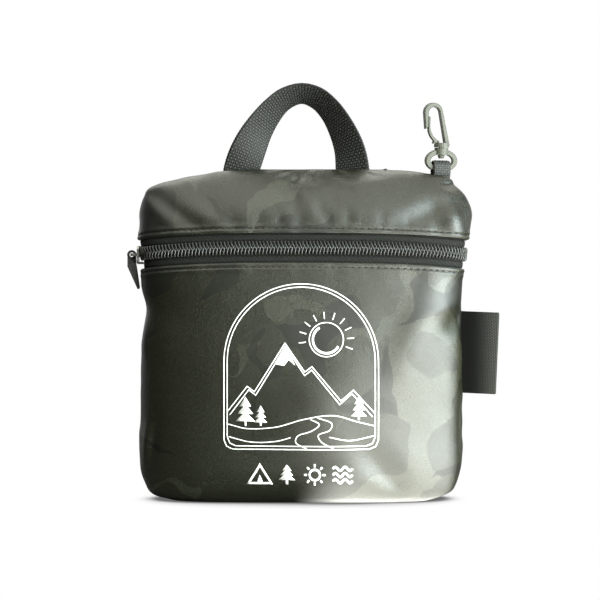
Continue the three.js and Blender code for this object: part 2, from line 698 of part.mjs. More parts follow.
// Gate: the springy tongue that closes the hook against the inside of its nose.
function hookGate() {
  const outerFace = noseInner + pieceGap;
  const innerFace = outerFace + gateThickness;
  const tip = crookMiddle - 2.4;
  const p = gatePivot;
  const outline = new THREE.Shape();
  outline.absarc(p.x, p.y, gateRootRadius, Math.PI, 2 * Math.PI, false);
  outline.quadraticCurveTo(innerFace + 0.3, p.y + 3.4, innerFace, p.y + 8);
  outline.lineTo(innerFace, tip - 0.4);
  outline.lineTo(innerFace - 0.4, tip);
  outline.lineTo(outerFace, tip);
  outline.lineTo(outerFace, p.y + 7);
  outline.quadraticCurveTo(outerFace + 0.2, p.y + 3, p.x - gateRootRadius, p.y);
  const tongue = slabOf(outline, gateDepth, 0.2, 5);
  tongue.rotateX(Math.PI / 2);
  tongue.applyMatrix4(hookFrame);
  return toSolid(tongue);
}

// The folded bag that fills the pouch.
function foldedBag(straps) {
  let bundle = pouchBody(bundleInset, bundleStepsRound, bundleStepsUp);
  const foot = bundleInset - clothWall - pieceGap;
  const low = bundle.boundingBox().min[2];
  const plinth = [];
  for (const z of [low - foot, low + 1]) {
    const ring = [];
    for (let i = 0; i < bundleStepsRound; i++) {
      const p = pouchPoint(2 * Math.PI * i / bundleStepsRound, 0, bundleInset);
      ring.push(new THREE.Vector3(0.96 * p.x, 0.96 * p.y, z));
    }
    plinth.push(ring);
  }
  bundle = bundle.add(toSolid(loft(plinth)));
  const room = block(
    new THREE.Vector3(-sliderLength / 2 - 0.5, -sliderWidth / 2 - 0.5, bottomFace - sliderPlate - pieceGap),
    new THREE.Vector3(sliderLength / 2 + 0.5, sliderWidth / 2 + 0.5, far / 8),
  ).transform(sliderPlace.elements);
  const clear = bundle.intersect(pouchBody(tapeInner + pieceGap).add(toSolid(loft(plinth))));
  return straps.reduce((left, strap) => left.subtract(strap), clear.subtract(room));
}

// The cloth shell, split at the seam and at the zip.
const shell = pouchBody(0).subtract(pouchBody(clothWall));
const strapCuts = [handleStrap(pieceGap), clothLoop(pieceGap), sideTab(pieceGap)];
const cutForStraps = (solid) => strapCuts.reduce((left, cut) => left.subtract(cut), solid);
const seamBack = seamSetback + pieceGap / 2;
const behind = block(new THREE.Vector3(-far, seamBack, -far), new THREE.Vector3(far, far, far));
const frontPanel = cutForStraps(shell.intersect(zipBand(-far, -zipSlot / 2)));
const topPanel = cutForStraps(shell.intersect(zipBand(zipSlot / 2, far)));
const backPanel = cutForStraps(shell.intersect(behind));

const cloth = new THREE.MeshStandardMaterial({ color: 0x2a2c24, roughness: 0.4, metalness: 0 });
const tape = new THREE.MeshStandardMaterial({ color: 0x22241f, roughness: 0.85, metalness: 0 });
const coil = new THREE.MeshStandardMaterial({ color: 0x3a3b37, roughness: 0.35, metalness: 0 });
const webbing = new THREE.MeshStandardMaterial({ color: 0x2e302b, roughness: 0.8, metalness: 0 });
const ribbon = new THREE.MeshStandardMaterial({ color: 0x14150f, roughness: 0.8, metalness: 0 });
const metal = new THREE.MeshStandardMaterial({ color: 0x8a8a84, roughness: 0.3, metalness: 1 });
const rubber = new THREE.MeshStandardMaterial({ color: 0x0d0d0c, roughness: 0.5, metalness: 0 });
const plastic = new THREE.MeshStandardMaterial({ color: 0x85877b, roughness: 0.4, metalness: 0 });

function piece(name, solid, material) {
  const mesh = new THREE.Mesh(toGeometry(solid), material);
  mesh.name = name;
  return mesh;
}

const bag = new THREE.Group();
bag.name = 'packed_backpack';

const pouch = new THREE.Group();
pouch.add(
  piece('front_panel', frontPanel, cloth),
  piece('top_panel', topPanel, cloth),
  piece('back_panel', backPanel, cloth),
  piece('folded_bag', foldedBag(strapCuts), cloth),
);

const zip = new THREE.Group();
zip.add(
  piece('zip_tape_lower', cutForStraps(zipTape(-1)), tape),
  piece('zip_tape_upper', cutForStraps(zipTape(1)), tape),
  piece('zip_coil_lower', zipCoil(-1), coil),
  piece('zip_coil_upper', zipCoil(1), coil),
  piece('zip_slider', zipSlider(), metal),
  piece('zip_puller', zipPuller(), rubber),
);

const straps = new THREE.Group();
straps.add(
  piece('handle_webbing', handleStrap(), webbing),
  piece('hook_loop', clothLoop(), ribbon),
  piece('side_tab', sideTab(), ribbon),
);

const hook = new THREE.Group();
hook.add(
  piece('swivel_eye', swivelEye(), plastic),
  piece('snap_hook', snapHook(), plastic),
  piece('hook_gate', hookGate(), plastic),
);

bag.add(pouch, zip, straps, hook);

export default bag;
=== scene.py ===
import math

import bmesh
import bpy
import numpy as np
from mathutils import Matrix, Vector
from mathutils.bvhtree import BVHTree


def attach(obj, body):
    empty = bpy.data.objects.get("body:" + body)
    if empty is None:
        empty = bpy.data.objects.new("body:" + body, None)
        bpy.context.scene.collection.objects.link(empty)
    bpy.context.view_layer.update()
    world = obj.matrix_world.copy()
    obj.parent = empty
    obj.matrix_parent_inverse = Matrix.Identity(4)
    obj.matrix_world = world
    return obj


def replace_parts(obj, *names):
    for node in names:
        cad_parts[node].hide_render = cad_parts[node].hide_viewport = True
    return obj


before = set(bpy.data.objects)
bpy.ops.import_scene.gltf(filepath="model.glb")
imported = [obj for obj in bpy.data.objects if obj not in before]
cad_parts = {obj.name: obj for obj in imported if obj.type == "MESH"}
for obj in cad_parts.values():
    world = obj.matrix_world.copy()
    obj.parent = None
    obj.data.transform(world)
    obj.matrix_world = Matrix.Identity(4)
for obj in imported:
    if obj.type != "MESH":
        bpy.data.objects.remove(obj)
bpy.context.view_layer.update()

# The pouch holds a backpack folded into its own pocket. Lengths here are millimetres until a mesh is
# made, and MM turns them into metres.
MM = 0.001
POUCH_WIDTH = 186
POUCH_HEIGHT = 189
FRONT_DEPTH = 27
BACK_DEPTH = 20
CLOTH_WALL = 1.5
SEAM_SETBACK = 5
SEAM_GAP = 0.3
ZIP_HEIGHT = 143.3
ZIP_DROP = 3.3
ZIP_SLOT = 16.8
TAPE_DEPTH = 1.8
TAPE_THICKNESS = 0.8
COIL_HALF_WIDTH = 3.9
COIL_PITCH = 2.0
STITCH_FROM_EDGE = 2.6
STITCH_PITCH = 3.7
HALF_WIDTH = POUCH_WIDTH / 2

# A length too small to divide by
TINY = 1e-9

# Outline and fullness of the pouch, as shares of its sizes: height, left and right half widths, front
# and back depths, and the exponent of the section's rounded shape.
SECTIONS = np.array([
    (0.000, 0.800, 0.795, 0.66, 0.50, 3.4),
    (0.016, 0.914, 0.906, 0.80, 0.66, 3.2),
    (0.043, 0.958, 0.954, 0.90, 0.78, 3.0),
    (0.107, 0.994, 0.990, 0.965, 0.92, 2.8),
    (0.295, 0.995, 0.995, 1.00, 1.00, 2.7),
    (0.448, 0.989, 0.993, 0.99, 1.00, 2.7),
    (0.565, 0.966, 0.991, 0.95, 0.97, 2.8),
    (0.660, 0.988, 0.995, 0.92, 0.93, 3.0),
    (0.735, 0.988, 1.017, 0.89, 0.90, 3.2),
    (0.770, 1.007, 1.023, 0.86, 0.88, 3.1),
    (0.804, 1.004, 1.032, 0.83, 0.84, 3.0),
    (0.860, 0.996, 1.052, 0.74, 0.76, 2.8),
    (0.914, 0.974, 1.020, 0.58, 0.62, 2.7),
    (0.951, 0.914, 0.952, 0.42, 0.47, 2.6),
    (0.982, 0.656, 0.880, 0.24, 0.30, 2.5),
    (1.000, 0.320, 0.540, 0.09, 0.12, 2.4),
])
UP, LEFT, RIGHT, FRONT, BACK, SQUARE = range(6)

# Folds and dents of the cloth: side (-1 front, 1 back), place across and up as shares, lean from
# upright in degrees, half length and half breadth as shares of the width, height out in millimetres.
FOLDS = [
    (-1, -0.86, 0.865, -52, 0.090, 0.022, 0.8),
    (-1, -0.76, 0.865, -52, 0.100, 0.022, -0.8),
    (-1, -0.62, 0.870, -54, 0.110, 0.026, 0.6),
    (-1, -0.46, 0.860, -54, 0.090, 0.026, -0.5),
    (-1, -0.05, 0.975, -12, 0.022, 0.014, -1.9),
    (-1, 0.03, 0.915, -22, 0.060, 0.022, 0.9),
    (-1, 0.42, 0.960, 80, 0.070, 0.022, 0.7),
    (-1, 0.78, 0.865, 70, 0.100, 0.030, -1.8),
    (-1, 0.92, 0.845, -20, 0.070, 0.034, 3.2),
    (-1, 0.14, 0.260, 0, 0.180, 0.160, 3.6),
    (-1, 0.84, 0.220, 0, 0.150, 0.150, -2.3),
    (-1, 0.76, 0.560, 24, 0.230, 0.060, 2.4),
    (-1, 0.95, 0.540, 50, 0.045, 0.030, -2.6),
    (-1, 0.86, 0.580, 70, 0.050, 0.018, 1.0),
    (-1, 0.53, 0.075, -40, 0.130, 0.040, -2.9),
    (-1, 0.20, 0.070, 90, 0.140, 0.055, 2.4),
    (-1, -0.94, 0.170, 4, 0.060, 0.014, 1.3),
    (-1, -0.89, 0.190, 8, 0.070, 0.014, -0.9),
    (-1, -0.95, 0.480, 0, 0.050, 0.012, 1.0),
    (1, -0.35, 0.550, 30, 0.300, 0.050, -1.9),
    (1, 0.40, 0.350, -55, 0.280, 0.050, -1.6),
]

# A dent in the left-hand edge: its height, its half length, its depth and how far it reaches in.
EDGE_DENT = (109, 7.5, 2.6, 12)

# At the crown the seam runs in to this share of the back's depth.
CROWN_SEAM_SHARE = 0.62

# Points tried round a section, and the angle in radians that those of the front run past its sides.
# The ones behind the seam are left out.
SECTION_POINTS = 900
PAST_THE_SIDE = 1.2

# The rows of the cloth bow with the zip in full between the middle two of these heights, and not at all
# below the first or above the last.
BOW_START, BOW_FULL, BOW_FADE, BOW_END = 40, 110, 165, 182
BOW_PASSES = 3
CROWN_BULGE = 0.35

# Heights of the wrinkles
SEAM_PUCKER = 0.9
CROWN_PUCKER = 0.6
FOOT_PUCKER = 0.6
STUFFING_BUMPS = 0.25
HEM_PUCKER = 0.22

# Relief of the hem beside the zip: how far its fold is rounded off, how far the second layer lifts the
# cloth, and how deep the stitches pinch it.
HEM_ROUNDING = 0.55
HEM_LIFT = 0.35
HEM_PINCH = 0.5

# Grid of the cloth: columns from seam to seam, rows that close the foot and the crown, and how far the
# rows beside the zip lie from the cloth's edge. The top has the first TOP_HEM_ROWS of them, and the next
# row is at least HEM_ROWS_CLEAR further off.
COLUMNS = 230
FRONT_FOOT_ROWS = 12
BACK_FOOT_ROWS = 8
CROWN_ROWS = 5
HEM_ROWS = np.array([0, 0.15, 0.4, 0.7, 1.1, 1.6, 2.1, 2.45, 2.75, 3.1, 3.6, 4.2, 5, 6, 7.5, 9])
TOP_HEM_ROWS = 14
HEM_ROWS_CLEAR = 0.5

# The cloth simulation: its length, how many of the grid's rows and columns it skips, how much larger
# than the real panel it is, how often its moves are smoothed, and the cloth's own settings.
SETTLE_STEPS = 20
SETTLE_ROW_STEP = 3
SETTLE_COLUMN_STEP = 4
SETTLE_ENLARGED = 10
SMOOTHING_PASSES = 4
SETTLING_CLOTH = {
    "quality": 6,
    "mass": 0.2,
    "tension_stiffness": 25,
    "compression_stiffness": 15,
    "shear_stiffness": 8,
    "bending_stiffness": 1.2,
    "use_pressure": True,
    "uniform_pressure_force": 2.5,
    "vertex_group_mass": "sewn",
}


def smooth_table(xs, ys, x):
    """A smooth curve through a table's rows."""
    before = np.maximum(np.arange(len(xs)) - 1, 0)
    after = np.minimum(np.arange(len(xs)) + 1, len(xs) - 1)
    slopes = (ys[after] - ys[before]) / (xs[after] - xs[before])
    i = np.clip(np.searchsorted(xs, x, side="right") - 1, 0, len(xs) - 2)
    gap = xs[i + 1] - xs[i]
    t = (x - xs[i]) / gap
    return ((2 * t**3 - 3 * t**2 + 1) * ys[i] + (t**3 - 2 * t**2 + t) * gap * slopes[i]
            + (3 * t**2 - 2 * t**3) * ys[i + 1] + (t**3 - t**2) * gap * slopes[i + 1])


def table_value(column, up):
    """A column of the section table at shares of the height."""
    return smooth_table(SECTIONS[:, UP], SECTIONS[:, column], np.clip(up, 0, 1))


def section(z):
    """Half widths, depths and exponent of the pouch's section at a height."""
    up = z / POUCH_HEIGHT
    return (HALF_WIDTH * table_value(LEFT, up), HALF_WIDTH * table_value(RIGHT, up),
            FRONT_DEPTH * table_value(FRONT, up), BACK_DEPTH * table_value(BACK, up),
            table_value(SQUARE, up))


def zip_line(x):
    """Height of the zip's middle line at a place across the pouch."""
    share = np.minimum(np.abs(x) / HALF_WIDTH, 1)
    return ZIP_HEIGHT - ZIP_DROP * share**3


def ramp(value, low, high):
    """0 below low, 1 above high, smooth between."""
    t = np.clip((value - low) / (high - low), 0, 1)
    return t * t * (3 - 2 * t)


def soft_noise(x, y, seed):
    """Smooth noise from -1 to 1, one bump to a unit, the same each run."""
    grid = np.random.default_rng(seed).uniform(-1, 1, (64, 64))
    xi = np.floor(x).astype(int)
    yi = np.floor(y).astype(int)
    u = ramp(x - xi, 0, 1)
    v = ramp(y - yi, 0, 1)

    def corner(i, j):
        return grid[(xi + i) % 64, (yi + j) % 64]

    low = corner(0, 0) * (1 - u) + corner(1, 0) * u
    high = corner(0, 1) * (1 - u) + corner(1, 1) * u
    return low * (1 - v) + high * v


def seam_depth(z):
    """Depth of the seam round the edge, which runs in towards the middle at the crown."""
    _, _, _, back, _ = section(z)
    return np.minimum(SEAM_SETBACK, CROWN_SEAM_SHARE * back)


def half_loop(z, side, count):
    """Points round the front (side -1) or back (side 1) of a section, from the seam on the left to the
    seam on the right, evenly spaced."""
    left, right, front, back, square = section(z)
    seam = seam_depth(z) + side * SEAM_GAP / 2
    if side < 0:
        angles = np.linspace(-math.pi - PAST_THE_SIDE, PAST_THE_SIDE, SECTION_POINTS)
    else:
        angles = np.linspace(math.pi, 0, SECTION_POINTS)
    c = np.cos(angles)
    n = np.sin(angles)
    reach = (np.abs(c)**square + np.abs(n)**square)**(-1 / square)
    x = reach * c * np.where(c > 0, right, left)
    y = reach * n * np.where(n < 0, front, back)
    keep = y <= seam if side < 0 else y >= seam
    edge = (1 - (seam / back)**square)**(1 / square)
    x = np.concatenate([[-left * edge], x[keep], [right * edge]])
    y = np.concatenate([[seam], y[keep], [seam]])
    along = np.concatenate([[0], np.cumsum(np.hypot(np.diff(x), np.diff(y)))])
    even = np.linspace(0, along[-1], count)
    return np.interp(even, along, x), np.interp(even, along, y), even


def fold_relief(side, x, z):
    """How far the folds and dents stand out."""
    out = np.zeros_like(x)
    for where, across, up, lean, long, broad, height in FOLDS:
        if where != side:
            continue
        lean = math.radians(lean)
        dx = x - across * HALF_WIDTH
        dz = z - up * POUCH_HEIGHT
        along = (dx * math.sin(lean) + dz * math.cos(lean)) / (long * POUCH_WIDTH)
        over = (dx * math.cos(lean) - dz * math.sin(lean)) / (broad * POUCH_WIDTH)
        out += height * np.exp(-along**2 - over**2)
    return out


def closing_row(row, side, share):
    """A copy of the first or last row, moved a share of the way to the seam."""
    row = row.copy()
    row[:, 1] += (seam_depth(row[:, 2]) + side * SEAM_GAP / 2 - row[:, 1]) * share
    return row


def cloth_grid(side, heights, count, foot=0, crown=0):
    """A grid of points on the pouch. heights are those at the middle, which bow down at the sides as the
    zip does. foot and crown add rows that close the bottom and the top to the seam."""
    rows = []
    arcs = []
    for z0 in heights:
        z_row = np.full(count, float(z0))
        x, y, along = half_loop(float(z0), side, count)
        near = ramp(z0, BOW_START, BOW_FULL) * (1 - ramp(z0, BOW_FADE, BOW_END))
        for _ in range(BOW_PASSES):
            z_row = z0 + near * (zip_line(x) - ZIP_HEIGHT)
            low_x, low_y, _ = half_loop(z_row.min(), side, count)
            high_x, high_y, _ = half_loop(z_row.max(), side, count)
            t = (z_row - z_row.min()) / max(z_row.max() - z_row.min(), TINY)
            x = low_x * (1 - t) + high_x * t
            y = low_y * (1 - t) + high_y * t
        rows.append(np.stack([x, y, z_row], axis=1))
        arcs.append(along - along[-1] / 2)
    first = rows[0]
    last = rows[-1]
    for k in range(foot):
        rows.insert(0, closing_row(first, side, (k + 1) / foot))
        arcs.insert(0, arcs[0])
    for k in range(crown):
        share = (k + 1) / crown
        row = closing_row(last, side, share)
        row[:, 2] += CROWN_BULGE * math.sin(share * math.pi / 2)
        rows.append(row)
        arcs.append(arcs[-1])
    return np.array(rows), np.array(arcs)


def grid_normals(points, side):
    """Outward normals of a grid of points."""
    across = np.gradient(points, axis=1)
    up = np.gradient(points, axis=0)
    normal = np.cross(across, up) * (1 if side < 0 else -1)
    length = np.linalg.norm(normal, axis=2, keepdims=True)
    weak = length[:, :, 0] < 1e-6
    normal = normal / np.maximum(length, TINY)
    normal[weak] = (0, side, 0)
    return normal


def seam_distance(points):
    """Distance along each row from the nearer seam."""
    steps = np.linalg.norm(np.diff(points, axis=1), axis=2)
    along = np.concatenate([np.zeros((len(points), 1)), np.cumsum(steps, axis=1)], axis=1)
    return np.minimum(along, along[:, -1:] - along)


def wrinkles(side, points):
    """Small puckers along the seams and the hems, and the soft unevenness of stuffed cloth. In each noise
    the number that divides is the size of a bump, and the one added picks a place in the noise."""
    x = points[:, :, 0]
    z = points[:, :, 2]
    seed = 10 if side < 0 else 20
    from_seam = seam_distance(points)
    pucker = soft_noise(z / 7.5 + 3, np.sign(x) * 2 + from_seam / 40, seed) * np.exp(-from_seam / 11)
    crown = np.clip(POUCH_HEIGHT - z, 0, None)
    crown_pucker = soft_noise(x / 8 + 40, crown / 30, seed + 1) * np.exp(-crown / 9)
    foot_pucker = soft_noise(x / 10 + 9, z / 30, seed + 2) * np.exp(-z / 10) * ramp(z, 0, 3)
    broad = soft_noise(x / 34 + 5, z / 26 + 5, seed + 3) + 0.5 * soft_noise(
        (x + z) / 17 + 9, (x - z) / 30 + 2, seed + 4)
    hem = np.abs(z - zip_line(x)) - ZIP_SLOT / 2
    hem_pucker = soft_noise(x / 6.5 + 21, hem / 40, seed + 5) * np.exp(-np.abs(hem) / 6)
    return (SEAM_PUCKER * pucker + CROWN_PUCKER * crown_pucker + FOOT_PUCKER * foot_pucker
            + STUFFING_BUMPS * broad + (HEM_PUCKER * hem_pucker if side < 0 else 0))


def hem_relief(distance):
    """The doubled edge beside the zip: rounded at its fold and pinched at its row of stitches. distance is
    from the fold."""
    rounding = -HEM_ROUNDING * (1 - ramp(distance, -0.1, 0.9))
    doubled = HEM_LIFT * (1 - ramp(distance, STITCH_FROM_EDGE + 0.6, STITCH_FROM_EDGE + 3.5))
    pinch = -HEM_PINCH * np.exp(-((distance - STITCH_FROM_EDGE) / 0.5)**2)
    return rounding + doubled + pinch


def every_few(count, step):
    """Indices that skip through a row and end on its last one."""
    return np.unique(np.append(np.arange(0, count, step), count - 1))


def settle(name, points, held_rows, growth=0.035, cap=2.4):
    """How far the stuffing and the sewn edges move each point of a panel. A cloth simulation of a
    coarser grid, held along its edges, gives the puckers, and its moves are capped and smoothed."""
    rows = every_few(points.shape[0], SETTLE_ROW_STEP)
    cols = every_few(points.shape[1], SETTLE_COLUMN_STEP)
    coarse = points[np.ix_(rows, cols)]
    high, wide = coarse.shape[:2]
    faces = [(r * wide + c, r * wide + c + 1, (r + 1) * wide + c + 1, (r + 1) * wide + c)
             for r in range(high - 1) for c in range(wide - 1)]
    scale = SETTLE_ENLARGED * MM
    mesh = bpy.data.meshes.new(name)
    mesh.from_pydata((coarse.reshape(-1, 3) * scale).tolist(), [], faces)
    panel = bpy.data.objects.new(name, mesh)
    bpy.context.scene.collection.objects.link(panel)
    sewn = panel.vertex_groups.new(name="sewn")
    for r in range(high):
        for c in range(wide):
            height = points[rows[r], 0, 2]
            if c in (0, wide - 1) or height <= held_rows[0] or height >= held_rows[1]:
                sewn.add([r * wide + c], 1.0, "REPLACE")
    drape = panel.modifiers.new("settling", "CLOTH")
    for setting, value in SETTLING_CLOTH.items():
        setattr(drape.settings, setting, value)
    drape.settings.shrink_min = -growth
    drape.settings.effector_weights.gravity = 0
    drape.collision_settings.use_collision = False
    scene = bpy.context.scene
    for step in range(1, SETTLE_STEPS + 1):
        scene.frame_set(step)
    shape = panel.evaluated_get(bpy.context.evaluated_depsgraph_get()).to_mesh()
    moved = np.zeros(len(shape.vertices) * 3)
    shape.vertices.foreach_get("co", moved)
    bpy.data.objects.remove(panel)
    scene.frame_set(1)
    offset = moved.reshape(coarse.shape) / scale - coarse
    length = np.linalg.norm(offset, axis=2, keepdims=True)
    offset *= cap * np.tanh(length / cap) / np.maximum(length, TINY)
    fine_rows = np.stack([[np.interp(np.arange(points.shape[0]), rows, offset[:, c, k])
                           for c in range(wide)] for k in range(3)])
    fine = np.stack([[np.interp(np.arange(points.shape[1]), cols, fine_rows[k, :, r])
                      for r in range(points.shape[0])] for k in range(3)], axis=-1)
    for _ in range(SMOOTHING_PASSES):
        fine[1:-1] = (fine[:-2] + 2 * fine[1:-1] + fine[2:]) / 4
        fine[:, 1:-1] = (fine[:, :-2] + 2 * fine[:, 1:-1] + fine[:, 2:]) / 4
    return fine


def dressed(side, points, hem=None, foot=0, crown=0):
    """The grid with its folds, wrinkles and hem, and its normals from before them."""
    normal = grid_normals(points, side)
    normal[:foot] = (0, 0, -1)
    if crown:
        normal[-crown:] = (0, 0, 1)
    height, spread, depth, reach = EDGE_DENT
    near_left = np.exp(-seam_distance(points) / reach) * (points[:, :, 0] < 0)
    points = points.copy()
    points[:, :, 0] += depth * near_left * np.exp(-((points[:, :, 2] - height) / spread)**2)
    x = points[:, :, 0]
    z = points[:, :, 2]
    ends = ramp(z, 0, 14) * ramp(POUCH_HEIGHT - z, 0, 9)
    out = (fold_relief(side, x, z) * ramp(np.abs(normal[:, :, 1]), 0.04, 0.4) * ends
           + wrinkles(side, points) * ramp(z, 0.4, 4) * ramp(POUCH_HEIGHT + 1 - z, 0, 3))
    if hem is not None:
        out = out + hem_relief(hem)
    return points + normal * out[:, :, None], normal


# Meshes


def add_object(name, mesh, material, body="pouch"):
    """A smooth-shaded piece in the scene, riding on a body unless that is None."""
    piece = bpy.data.objects.new(name, mesh)
    bpy.context.scene.collection.objects.link(piece)
    mesh.materials.append(material)
    for face in mesh.polygons:
        face.use_smooth = True
    if body:
        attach(piece, body)
    return piece


def wall_mesh(name, points, normal, thickness, side, arcs):
    """A closed wall of cloth from a grid of its outer face, with its own lengths, from arcs and the
    points' heights, as UVs."""
    rows, cols = points.shape[:2]
    inner = points - normal * thickness
    verts = np.concatenate([points.reshape(-1, 3), inner.reshape(-1, 3)]) * MM
    faces = []
    shift = rows * cols
    for r in range(rows - 1):
        for c in range(cols - 1):
            a = r * cols + c
            quad = (a, a + 1, a + cols + 1, a + cols)
            faces.append(quad if side < 0 else quad[::-1])
            back = (a + shift, a + cols + shift, a + cols + 1 + shift, a + 1 + shift)
            faces.append(back if side < 0 else back[::-1])
    rim = ([r * cols for r in range(rows)] + [(rows - 1) * cols + c for c in range(1, cols)]
           + [r * cols + cols - 1 for r in range(rows - 2, -1, -1)] + [c for c in range(cols - 2, 0, -1)])
    for i, a in enumerate(rim):
        b = rim[(i + 1) % len(rim)]
        quad = (a, b, b + shift, a + shift)
        faces.append(quad if side < 0 else quad[::-1])
    mesh = bpy.data.meshes.new(name)
    mesh.from_pydata(verts.tolist(), [], faces)
    uv = np.stack([arcs, points[:, :, 2]], axis=2).reshape(-1, 2) * MM
    uv = np.concatenate([uv, uv])
    layer = mesh.uv_layers.new(name="measure")
    loops = np.zeros(len(mesh.loops), int)
    mesh.loops.foreach_get("vertex_index", loops)
    layer.data.foreach_set("uv", uv[loops].astype(np.float32).ravel())
    mesh.validate()
    mesh.update()
    return mesh


def crowded_heights(count):
    """Heights from the foot to the crown, closer together near both."""
    return POUCH_HEIGHT * (0.5 - 0.5 * np.cos(np.pi * np.linspace(0, 1, count)))


def front_panel():
    """The cloth below the zip."""
    edge = ZIP_HEIGHT - ZIP_SLOT / 2
    body = crowded_heights(120)
    near_edge = edge - HEM_ROWS[::-1]
    heights = np.concatenate([body[body < near_edge[0] - HEM_ROWS_CLEAR], near_edge])
    points, arcs = cloth_grid(-1, heights, COLUMNS, foot=FRONT_FOOT_ROWS)
    hem = zip_line(points[:, :, 0]) - ZIP_SLOT / 2 - points[:, :, 2]
    points = points + settle("front_settling", points, (0.5, edge - 6))
    points, normal = dressed(-1, points, hem, foot=FRONT_FOOT_ROWS)
    mesh = wall_mesh("front_cloth", points, normal, CLOTH_WALL, -1, arcs)
    return add_object("front_cloth", mesh, cloth)


def top_panel():
    """The cloth above the zip, tauter than the rest."""
    edge = ZIP_HEIGHT + ZIP_SLOT / 2
    body = crowded_heights(150)
    near_edge = edge + HEM_ROWS[:TOP_HEM_ROWS]
    heights = np.concatenate([near_edge, body[body > near_edge[-1] + HEM_ROWS_CLEAR]])
    points, arcs = cloth_grid(-1, heights, COLUMNS, crown=CROWN_ROWS)
    hem = points[:, :, 2] - zip_line(points[:, :, 0]) - ZIP_SLOT / 2
    points = points + settle("top_settling", points, (edge + 1, POUCH_HEIGHT - 1), growth=0.012, cap=1.2)
    points, normal = dressed(-1, points, hem, crown=CROWN_ROWS)
    mesh = wall_mesh("top_cloth", points, normal, CLOTH_WALL, -1, arcs)
    return add_object("top_cloth", mesh, cloth)


def back_panel():
    """The plain cloth of the back."""
    points, arcs = cloth_grid(1, crowded_heights(130), COLUMNS, foot=BACK_FOOT_ROWS, crown=CROWN_ROWS)
    points = points + settle("back_settling", points, (0.5, POUCH_HEIGHT - 1))
    points, normal = dressed(1, points, foot=BACK_FOOT_ROWS, crown=CROWN_ROWS)
    mesh = wall_mesh("back_cloth", points, normal, CLOTH_WALL, 1, arcs)
    return add_object("back_cloth", mesh, cloth)


# The zip


ZIP_POINTS = 700
ROW_BESIDE_ZIP = 3.0


class ZipPath:
    """The zip's middle line round the front, from the left seam to the right one."""

    def __init__(self):
        heights = [ZIP_HEIGHT - ROW_BESIDE_ZIP, ZIP_HEIGHT, ZIP_HEIGHT + ROW_BESIDE_ZIP]
        rows, arcs = cloth_grid(-1, heights, ZIP_POINTS)
        self.along = arcs[1]
        self.point = rows[1]
        up = rows[2] - rows[0]
        self.up = up / np.linalg.norm(up, axis=1, keepdims=True)
        tangent = np.gradient(self.point, axis=0)
        self.tangent = tangent / np.linalg.norm(tangent, axis=1, keepdims=True)
        out = np.cross(self.tangent, self.up)
        self.out = out / np.linalg.norm(out, axis=1, keepdims=True)

    def read(self, table, s):
        """A table's values at s along the zip."""
        return np.stack([np.interp(s, self.along, table[:, k]) for k in range(3)], axis=-1)

    def place(self, s, v, w):
        """Points at s along the zip, v up from its middle and w out of the cloth."""
        return (self.read(self.point, s) + self.read(self.up, s) * np.asarray(v)[..., None]
                + self.read(self.out, s) * np.asarray(w)[..., None])


zip_path = ZipPath()


def tube_rings(points, side_hint, radius, sides):
    """Rings of points round a line, turned the same way as side_hint."""
    tangent = np.gradient(points, axis=0)
    tangent /= np.maximum(np.linalg.norm(tangent, axis=1, keepdims=True), TINY)
    first = np.cross(tangent, side_hint)
    first /= np.maximum(np.linalg.norm(first, axis=1, keepdims=True), TINY)
    second = np.cross(tangent, first)
    angles = np.linspace(0, 2 * math.pi, sides, endpoint=False)
    ring = first[:, None] * np.cos(angles)[None, :, None] + second[:, None] * np.sin(angles)[None, :, None]
    return points[:, None] + ring * radius


def rings_mesh(name, sets):
    """Closed skins through sets of rings of points, each with its two ends capped."""
    verts = []
    faces = []
    for rings in sets:
        start = len(verts)
        count, sides = rings.shape[:2]
        verts.extend(rings.reshape(-1, 3) * MM)
        for i in range(count - 1):
            for k in range(sides):
                a = start + i * sides + k
                b = start + i * sides + (k + 1) % sides
                faces.append((a, b, b + sides, a + sides))
        faces.append(tuple(start + k for k in reversed(range(sides))))
        faces.append(tuple(start + (count - 1) * sides + k for k in range(sides)))
    mesh = bpy.data.meshes.new(name)
    mesh.from_pydata([tuple(v) for v in verts], [], faces)
    mesh.validate()
    mesh.update()
    bm = bmesh.new()
    bm.from_mesh(mesh)
    bmesh.ops.recalc_face_normals(bm, faces=bm.faces)
    bm.to_mesh(mesh)
    bm.free()
    return mesh


# The coil: radius of its thread, its middle's height over the cloth, how far a head reaches past the
# zip's middle, how far a turn rises and falls, how far it leans along the zip, how square it is
# across and upright (1 is round), and how far from the left and right seams the coil ends.
COIL_THREAD = 0.42
COIL_MIDDLE_OUT = -0.42
COIL_HEAD = -0.55
COIL_RISE = 0.62
COIL_LEAN = 0.68
COIL_SQUARE_ACROSS = 0.75
COIL_SQUARE_UP = 0.8
COIL_FROM_LEFT = 8
COIL_FROM_RIGHT = 1
STEPS_PER_TURN = 18
THREAD_SIDES = 6


